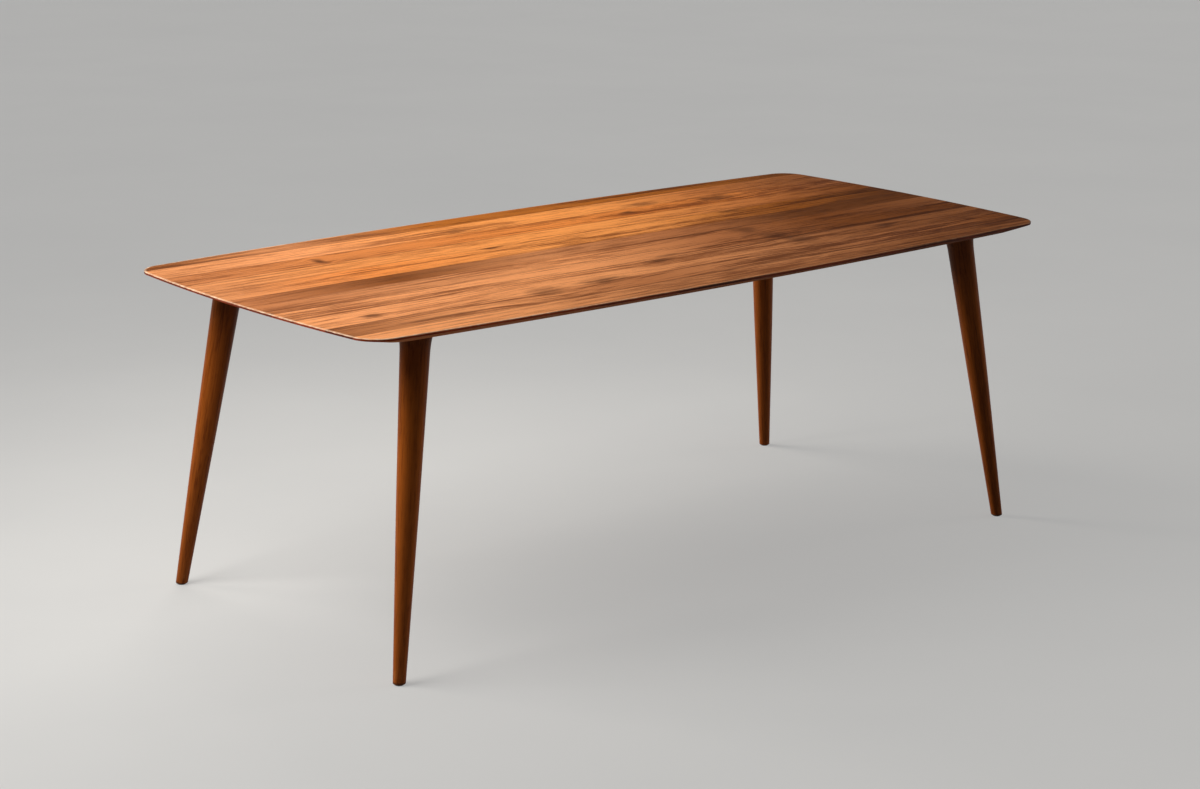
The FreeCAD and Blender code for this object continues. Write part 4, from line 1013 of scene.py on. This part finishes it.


# From the front to the back
# The tones hold painted light: most staves run paler at the left end and in the middle, and much darker at
# the right end, away from the lamps.
STAVE_LOOKS = [
    stave_look([TAN, TAN, ROSY, ROSY, COCOA, COCOA], SOFT_TINT, pith=(0.08, 0.05, 0.004), figure=0.8,
        marks=[(-700, 26, 250, 4, 0.4)]),
    stave_look([COCOA, TAN, CHESTNUT, ROSY, CHESTNUT, UMBER], pith=(0.01, 0.05, 0.012), knots=[
        (-448, 44, 46, 40, 0.62), (-276, 48, 60, 28, 0.66)],
        marks=[(-780, -10, 110, 8, 0.5), (300, -39, 700, 4, 0.5)]),
    stave_look([TAN, TAN, TAN, ROSY, COCOA, COCOA], SOFT_TINT, pith=(-0.05, 0.07, 0.01), figure=0.8, knots=[
        (-885, -8, 26, 16, 0.8), (392, 16, 42, 44, 0.62), (680, 12, 38, 15, 0.8),
        (-38, 36, 42, 16, 0.7), (-446, -46, 44, 36, 0.5), (-274, -40, 60, 24, 0.5)],
        marks=[(-280, -38, 90, 9, 0.5), (480, 50, 520, 5, 0.75)]),
    stave_look([TAN, TAN, TAN, CHESTNUT, UMBER, UMBER], pith=(0.02, 0.04, 0.015), knots=[
        (378, 0, 42, 44, 0.62), (20, -20, 46, 12, 0.6)]),
    stave_look([CHESTNUT, ROSY, TAN, CHESTNUT, UMBER, COCOA], SOFT_TINT, pith=(-0.08, 0.05, 0.004),
        figure=0.8, knots=[(364, 8, 42, 44, 0.6)], marks=[(250, 40, 160, 6, 0.6)]),
    stave_look([CHESTNUT, UMBER, ROSY, CHESTNUT, WALNUT, WALNUT], SOFT_TINT, pith=(0.07, 0.06, 0.006),
        figure=0.7, marks=[(-560, 10, 330, 24, 0.25)]),
    stave_look([ROSY, GOLDEN, BLOND, BLOND, GINGER, WALNUT], pith=(0.05, 0.05, 0.01), figure=0.9, knots=[
        (-258, 42, 22, 8, 0.85), (505, 36, 46, 14, 0.65)],
        marks=[(860, -40, 120, 8, 0.6), (-850, 41, 140, 5, 0.45), (-900, 17, 110, 4, 0.4)]),
    stave_look([ROSY, HONEY, BLOND, BLOND, RUSSET, UMBER], SOFT_TINT, pith=(-0.09, 0.05, 0.004), figure=0.7,
        marks=[(-820, 25, 240, 5, 0.5), (-300, 36, 300, 4, 0.4)]),
    stave_look([CHESTNUT, RUSSET, AMBER, GOLDEN, AMBER, CHESTNUT], pith=(0.02, 0.05, 0.01), knots=[
        (-651, -10, 14, 28, 0.9), (292, 5, 26, 13, 0.8), (596, 18, 64, 30, 0.75)], marks=[
        (-760, -22, 110, 4, 0.45), (-60, 28, 330, 5, 0.45)]),
    stave_look([ROSY, TAN, BLOND, BLOND, RUSSET, COCOA], SOFT_TINT, pith=(-0.04, 0.05, 0.012),
        figure=0.7, knots=[(-192, -14, 40, 18, 0.6), (392, -24, 56, 22, 0.6)],
        marks=[(-210, 8, 180, 5, 0.4), (520, 30, 260, 5, 0.4)]),
    stave_look([UMBER, ROSY, GINGER, GINGER, GINGER, WALNUT], pith=(0.06, 0.05, 0.006), figure=0.9,
        marks=[(-800, -31, 260, 4, 0.6), (620, 20, 110, 10, 0.6)]),
]

# The tones darken over the top of the leg: painted shade from the table top above it.
LEG_LOOK = {
    "tones_and_painted_light": [(0.0, (0.315, 0.077, 0.010)), (0.7, (0.342, 0.086, 0.010)), (1.0, (0.171, 0.042, 0.006))],
    "deep": (0.45, 0.36, 0.28), "dark": (-0.2, 1.0), "ring": 0.007, "pith": (0.05, 0.045, 0.01),
    "lines": 0.2, "bands": 0.4, "broad": 0.4, "streaks": 0.6, "hairs": 0.1, "veins": 0.1,
    "flecks": 0.9, "fibres": 1.2,
}


# The pieces

for number, middle, mesh in part_into_staves(routed_top()):
    mesh.materials.clear()
    mesh.materials.append(stave_finish(number, middle, STAVE_LOOKS[number - 1]))
    keep_mesh(f"finished_stave_{number}", mesh, "top_wood", f"top_stave_{number}")

for corner, (side, front) in CORNERS.items():
    material = leg_finish(corner, side, front, LEG_LOOK)
    mesh = leg_rule(material, side, front).make_mesh(f"turned_{corner}_leg")
    keep_mesh(f"turned_{corner}_leg", mesh, "leg_wood", f"{corner}_leg")

zinc = bare_metal_finish(
    "zinc_plate", [(0.3, (0.50, 0.50, 0.49)), (0.5, (0.62, 0.63, 0.65)), (0.7, (0.68, 0.66, 0.60))],
    bloom_scale=(260.0, 260.0, 260.0), sheen=(0.22, 0.42), marks_scale=(150.0, 150.0, 4000.0),
    marks_depth=0.03 * MM)
for name, rule in (
    ("plate_screws", plate_screws_rule(zinc)),
    ("channel_screws", channel_screws_rule(zinc)),
    ("channel_washers", channel_washers_rule(zinc)),
):
    keep_mesh(f"zinc_{name}", rule.make_mesh(f"zinc_{name}"), "zinc_steel", name)

# CAD pieces whose shape is right keep it and get their finish

black = black_steel_finish()
brass = bare_metal_finish(
    "insert_brass", [(0.3, (0.46, 0.31, 0.12)), (0.65, (0.72, 0.54, 0.25))],
    bloom_scale=(300.0, 300.0, 300.0), sheen=(0.45, 0.25), marks_scale=(100.0, 100.0, 3500.0),
    marks_depth=0.04 * MM)
nylon = nylon_finish()
kept = {"edge_joint_tenons": tenon_finish(), "leg_bolts": zinc, "leg_pins": zinc}
kept.update({name: brass for name in ("plate_inserts", "leg_inserts", "channel_inserts")})
kept.update({f"{name}_stiffener_channel": black for name in ("left", "middle", "right")})
for corner in CORNERS:
    kept[f"{corner}_leg_plate"] = black
    kept[f"{corner}_foot_pad"] = nylon
for name, material in kept.items():
    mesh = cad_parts[name].data
    mesh.materials.clear()
    mesh.materials.append(material)

# The floor

FLOOR_REACH = 28.0
FLOOR_SIDES = 96
COVE_RADIUS = 2.0
COVE_STEPS = 8
BACKDROP_HEIGHT = 3.2
MOTTLE_SCALE = (0.9, 0.9, 0.9)
MOTTLE_GREYS = [(0.3, (0.29, 0.29, 0.287)), (0.7, (0.33, 0.33, 0.325))]
FLOOR_BOUNCE = (0.26, 0.26, 0.255)
FLOOR_ROUGHNESS = 0.7
FLOOR_GLOW = 0.36
FLOOR_GLOW_COLOUR = (1.0, 1.0, 0.99, 1.0)


def floor_mesh():
    """A round floor whose rim turns up through a cove into a low backdrop."""
    shell = bmesh.new()
    bmesh.ops.create_circle(shell, cap_ends=True, segments=FLOOR_SIDES, radius=FLOOR_REACH)
    rim = list(shell.edges)
    for step in range(1, COVE_STEPS + 1):
        lean = QUARTER * step / COVE_STEPS
        reach = FLOOR_REACH + COVE_RADIUS * math.sin(lean)
        height = COVE_RADIUS * (1.0 - math.cos(lean)) if step < COVE_STEPS else BACKDROP_HEIGHT
        grown = bmesh.ops.extrude_edge_only(shell, edges=rim)["geom"]
        rim = [piece for piece in grown if isinstance(piece, bmesh.types.BMEdge)]
        for vertex in {corner for edge in rim for corner in edge.verts}:
            outward = Vector((vertex.co.x, vertex.co.y, 0.0)).normalized()
            vertex.co = outward * reach + Vector((0.0, 0.0, height))
    bmesh.ops.recalc_face_normals(shell, faces=shell.faces)
    return mesh_from(shell, "studio_floor")


def floor_finish():
    """Pale mottled paint, which shows paler than the light that it throws back on the table."""
    finish = Finish("studio_floor", specular=0.2)
    finish.shader.inputs["Roughness"].default_value = FLOOR_ROUGHNESS
    pale = finish.ramp(finish.cloud(MOTTLE_SCALE, detail=4.0), MOTTLE_GREYS)
    path = finish.node("ShaderNodeLightPath").outputs
    seen = finish.calc("MAXIMUM", path["Is Camera Ray"], path["Is Glossy Ray"])
    seen = finish.calc("MAXIMUM", seen, path["Is Transmission Ray"])
    finish.set("Base Color", finish.mix(seen, FLOOR_BOUNCE, pale))
    finish.shader.inputs["Emission Color"].default_value = FLOOR_GLOW_COLOUR
    finish.set("Emission Strength", finish.times(seen, FLOOR_GLOW))
    return finish.material


floor = bpy.data.objects.new("studio_floor", floor_mesh())
scene.collection.objects.link(floor)
floor.data.materials.append(floor_finish())

# The light

# Where the sky's shade changes, from the horizon at 0 to straight up at 1, and the shade there
SKY_SHADES = ((0.35, 0.03), (1.0, 0.19))
LEFT_LIGHT = (1.0, 0.97, 0.92)
BACK_LIGHT = (1.0, 0.95, 0.88)
WINDOW_LIGHT = (1.0, 0.93, 0.84)

world = bpy.data.worlds.new("studio")
scene.world = world
world.use_nodes = True
sky = Nodes(world.node_tree)
sky_height = sky.split(sky.node("ShaderNodeTexCoord").outputs["Generated"])[2]
sky.tree.links.new(sky.ramp(sky_height, SKY_SHADES), sky.tree.nodes["Background"].inputs["Color"])


def add_light(name, kind, turn, energy, colour, mirrored, place=(0, 0, 0)):
    """A lamp that the camera doesn't see."""
    lamp = bpy.data.lights.new(name, kind)
    lamp.energy = energy
    lamp.color = colour
    light = bpy.data.objects.new(name, lamp)
    light.location = place
    light.rotation_euler = turn.to_euler()
    light.visible_camera = False
    light.visible_glossy = mirrored
    scene.collection.objects.link(light)
    return lamp


def softbox(name, place, aim, size, power, colour, mirrored=True):
    turn = (Vector(aim) - Vector(place)).to_track_quat("-Z", "Y")
    lamp = add_light(name, "AREA", turn, power, colour, mirrored, place)
    lamp.shape = "RECTANGLE"
    lamp.size, lamp.size_y = size


def far_window(name, towards, strength, spread):
    """Soft light from far off, low enough to rim the legs and only graze the top."""
    turn = Vector(towards).to_track_quat("Z", "Y")
    lamp = add_light(name, "SUN", turn, strength, WINDOW_LIGHT, mirrored=False)
    lamp.angle = math.radians(spread)


softbox(
    "left_softbox", place=(-2.0, 0.4, 2.0), aim=(-0.5, 0.0, 0.7), size=(1.2, 1.2), power=40.5,
    colour=LEFT_LIGHT)
softbox(
    "back_softbox", place=(-0.1, 1.2, 1.95), aim=(0.0, 0.2, 0.75), size=(1.2, 0.7), power=18.8,
    colour=BACK_LIGHT, mirrored=False)
far_window("back_window", towards=(-0.55, 0.825, 0.12), strength=3.0, spread=20.0)
far_window("right_window", towards=(0.93, -0.36, 0.16), strength=1.0, spread=22.0)

# The camera

CAMERA_PLACE = Vector((-4.0363, -4.6185, 1.9949))
CAMERA_YAW = math.radians(40.95)
CAMERA_PITCH = math.radians(-14.72)
CAMERA_ROLL = math.radians(0.57)
CAMERA_LENS = 79.845
SENSOR_WIDTH = 36.0

forward = Vector((
    math.sin(CAMERA_YAW) * math.cos(CAMERA_PITCH), math.cos(CAMERA_YAW) * math.cos(CAMERA_PITCH),
    math.sin(CAMERA_PITCH)))
level = Vector((math.cos(CAMERA_YAW), -math.sin(CAMERA_YAW), 0.0))
upright = level.cross(forward)
right = math.cos(CAMERA_ROLL) * level + math.sin(CAMERA_ROLL) * upright
up = -math.sin(CAMERA_ROLL) * level + math.cos(CAMERA_ROLL) * upright
lens = bpy.data.cameras.new("photo_camera")
lens.sensor_fit = "HORIZONTAL"
lens.sensor_width = SENSOR_WIDTH
lens.lens = CAMERA_LENS
camera = bpy.data.objects.new("photo_camera", lens)
scene.collection.objects.link(camera)
camera.matrix_world = Matrix.Translation(CAMERA_PLACE) @ Matrix((right, up, -forward)).transposed().to_4x4()
scene.camera = camera
scene.view_settings.view_transform = "Standard"
